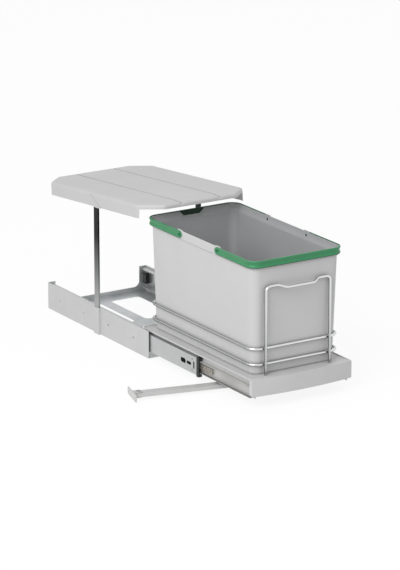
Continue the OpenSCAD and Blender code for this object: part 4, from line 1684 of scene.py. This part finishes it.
@dataclass
class DoorLink:
    """The arm under the tray that pulls the cabinet door, with its bracket and pins."""

    ease: float = 0.35

    def build(self, unit: Unit) -> None:
        """Dresses the link.

        Args:
            unit: The unit that gets the pieces.
        """
        unit.eased("door_arm", "arm", ARM_LACQUER, self.ease)
        unit.eased("door_bracket", "door_plate", ARM_LACQUER, self.ease)
        unit.eased("arm_mount", "drawer", ZINC_SHEET, self.ease)
        unit.eased("arm_pin", "drawer", ARM_LACQUER, ease=0.2)
        unit.eased("bracket_pin", "door_plate", PLATED_SCREW, ease=0.2)


@dataclass
class Studio:
    """A white floor and backdrop, one soft lamp and the photograph's camera."""

    eye: Point = (-3568.2, -5680.3, 2168.4)
    azimuth: float = -32.15
    down: float = 16.806
    lens: float = 296.97
    sensor: float = 36.0
    clip_end: float = 100.0
    world_level: float = 0.62
    lamp_power: float = 74.0
    lamp_from: Point = (-0.72, -0.39, 0.575)
    lamp_far: float = 4.0
    lamp_size: float = 2.4
    aim: Point = (0.0, 0.0, 0.15)
    floor_reach: float = 9.0
    floor_drop: float = 0.0012
    floor_white: float = 0.85
    floor_glow: float = 1.05

    def camera(self) -> None:
        """Adds the camera at the photograph's place."""
        data = bpy.data.cameras.new("photo_camera")
        data.sensor_fit = "HORIZONTAL"
        data.sensor_width = self.sensor
        data.lens = self.lens
        data.clip_end = self.clip_end
        camera = add_object("photo_camera", data)
        camera.location = Vector(self.eye) * MM
        camera.rotation_euler = (math.radians(90 - self.down), 0.0, math.radians(self.azimuth))
        bpy.context.scene.camera = camera

    def white_ray(self, tree: Tree) -> Socket:
        """1 for a ray that shows the background: from the camera, a mirror or glass.

        Args:
            tree: The tree of the world or the floor's paint.

        Returns:
            1, or 0 for any other ray.
        """
        path = add_node(tree, "ShaderNodeLightPath").outputs
        seen = path["Is Camera Ray"]
        for kind in ("Is Glossy Ray", "Is Transmission Ray"):
            both = add_node(tree, "ShaderNodeMath", {0: seen, 1: path[kind]}, operation="MAXIMUM")
            seen = both.outputs[0]
        return seen

    def world(self) -> None:
        """A white background that lights the object at a plain level."""
        world = bpy.data.worlds.new("studio_world")
        tree = blank_tree(world)
        levels = {"Value": self.white_ray(tree), "To Min": self.world_level, "To Max": 1.0}
        level = add_node(tree, "ShaderNodeMapRange", levels).outputs[0]
        sky = add_node(tree, "ShaderNodeBackground", {"Color": linear("#ffffff"), "Strength": level})
        add_node(tree, "ShaderNodeOutputWorld", {"Surface": sky.outputs[0]})
        bpy.context.scene.world = world

    def floor(self) -> None:
        """A plain pale floor that keeps a soft shadow."""
        r = self.floor_reach
        mesh = bpy.data.meshes.new("studio_floor")
        z = -self.floor_drop
        mesh.from_pydata([(-r, -r, z), (r, -r, z), (r, r, z), (-r, r, z)], [], [(0, 1, 2, 3)])
        paint = bpy.data.materials.new("studio_floor_paint")
        tree = blank_tree(paint)
        matt = add_node(tree, "ShaderNodeBsdfDiffuse", {"Color": linear("#e8e8e8")}).outputs[0]
        white = {"Color": linear("#ffffff"), "Strength": self.floor_glow}
        glow = add_node(tree, "ShaderNodeEmission", white).outputs[0]
        levels = {"Value": self.white_ray(tree), "To Min": 0.0, "To Max": self.floor_white}
        share = add_node(tree, "ShaderNodeMapRange", levels).outputs[0]
        mix = add_node(tree, "ShaderNodeMixShader", {0: share, 1: matt, 2: glow})
        add_node(tree, "ShaderNodeOutputMaterial", {"Surface": mix.outputs[0]})
        mesh.materials.append(paint)
        add_object("studio_floor", mesh)

    def lamp(self) -> None:
        """One big soft lamp from the upper left."""
        data = bpy.data.lights.new("soft_lamp", "AREA")
        data.shape = "SQUARE"
        data.size = self.lamp_size
        data.energy = self.lamp_power
        lamp = add_object("soft_lamp", data)
        way = Vector(self.lamp_from).normalized()
        lamp.location = Vector(self.aim) + way * self.lamp_far
        lamp.rotation_euler = way.to_track_quat("Z", "Y").to_euler()

    def build(self) -> None:
        """Builds the studio."""
        self.camera()
        self.world()
        self.floor()
        self.lamp()
        bpy.context.scene.view_settings.view_transform = "Standard"


def main() -> None:
    """Builds the studio and every sub-assembly."""
    logging.basicConfig(level=logging.INFO, format="%(name)s: %(message)s")
    unit = Unit(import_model())
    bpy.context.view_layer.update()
    Studio().build()
    for assembly in (FixedFrame(), Slides(), Tray(), WireWork(), Bin(), Handles(), Lid(), DoorLink()):
        assembly.build(unit)
    LOG.info("%d pieces", len(unit.made))


if __name__ == "__main__":
    main()
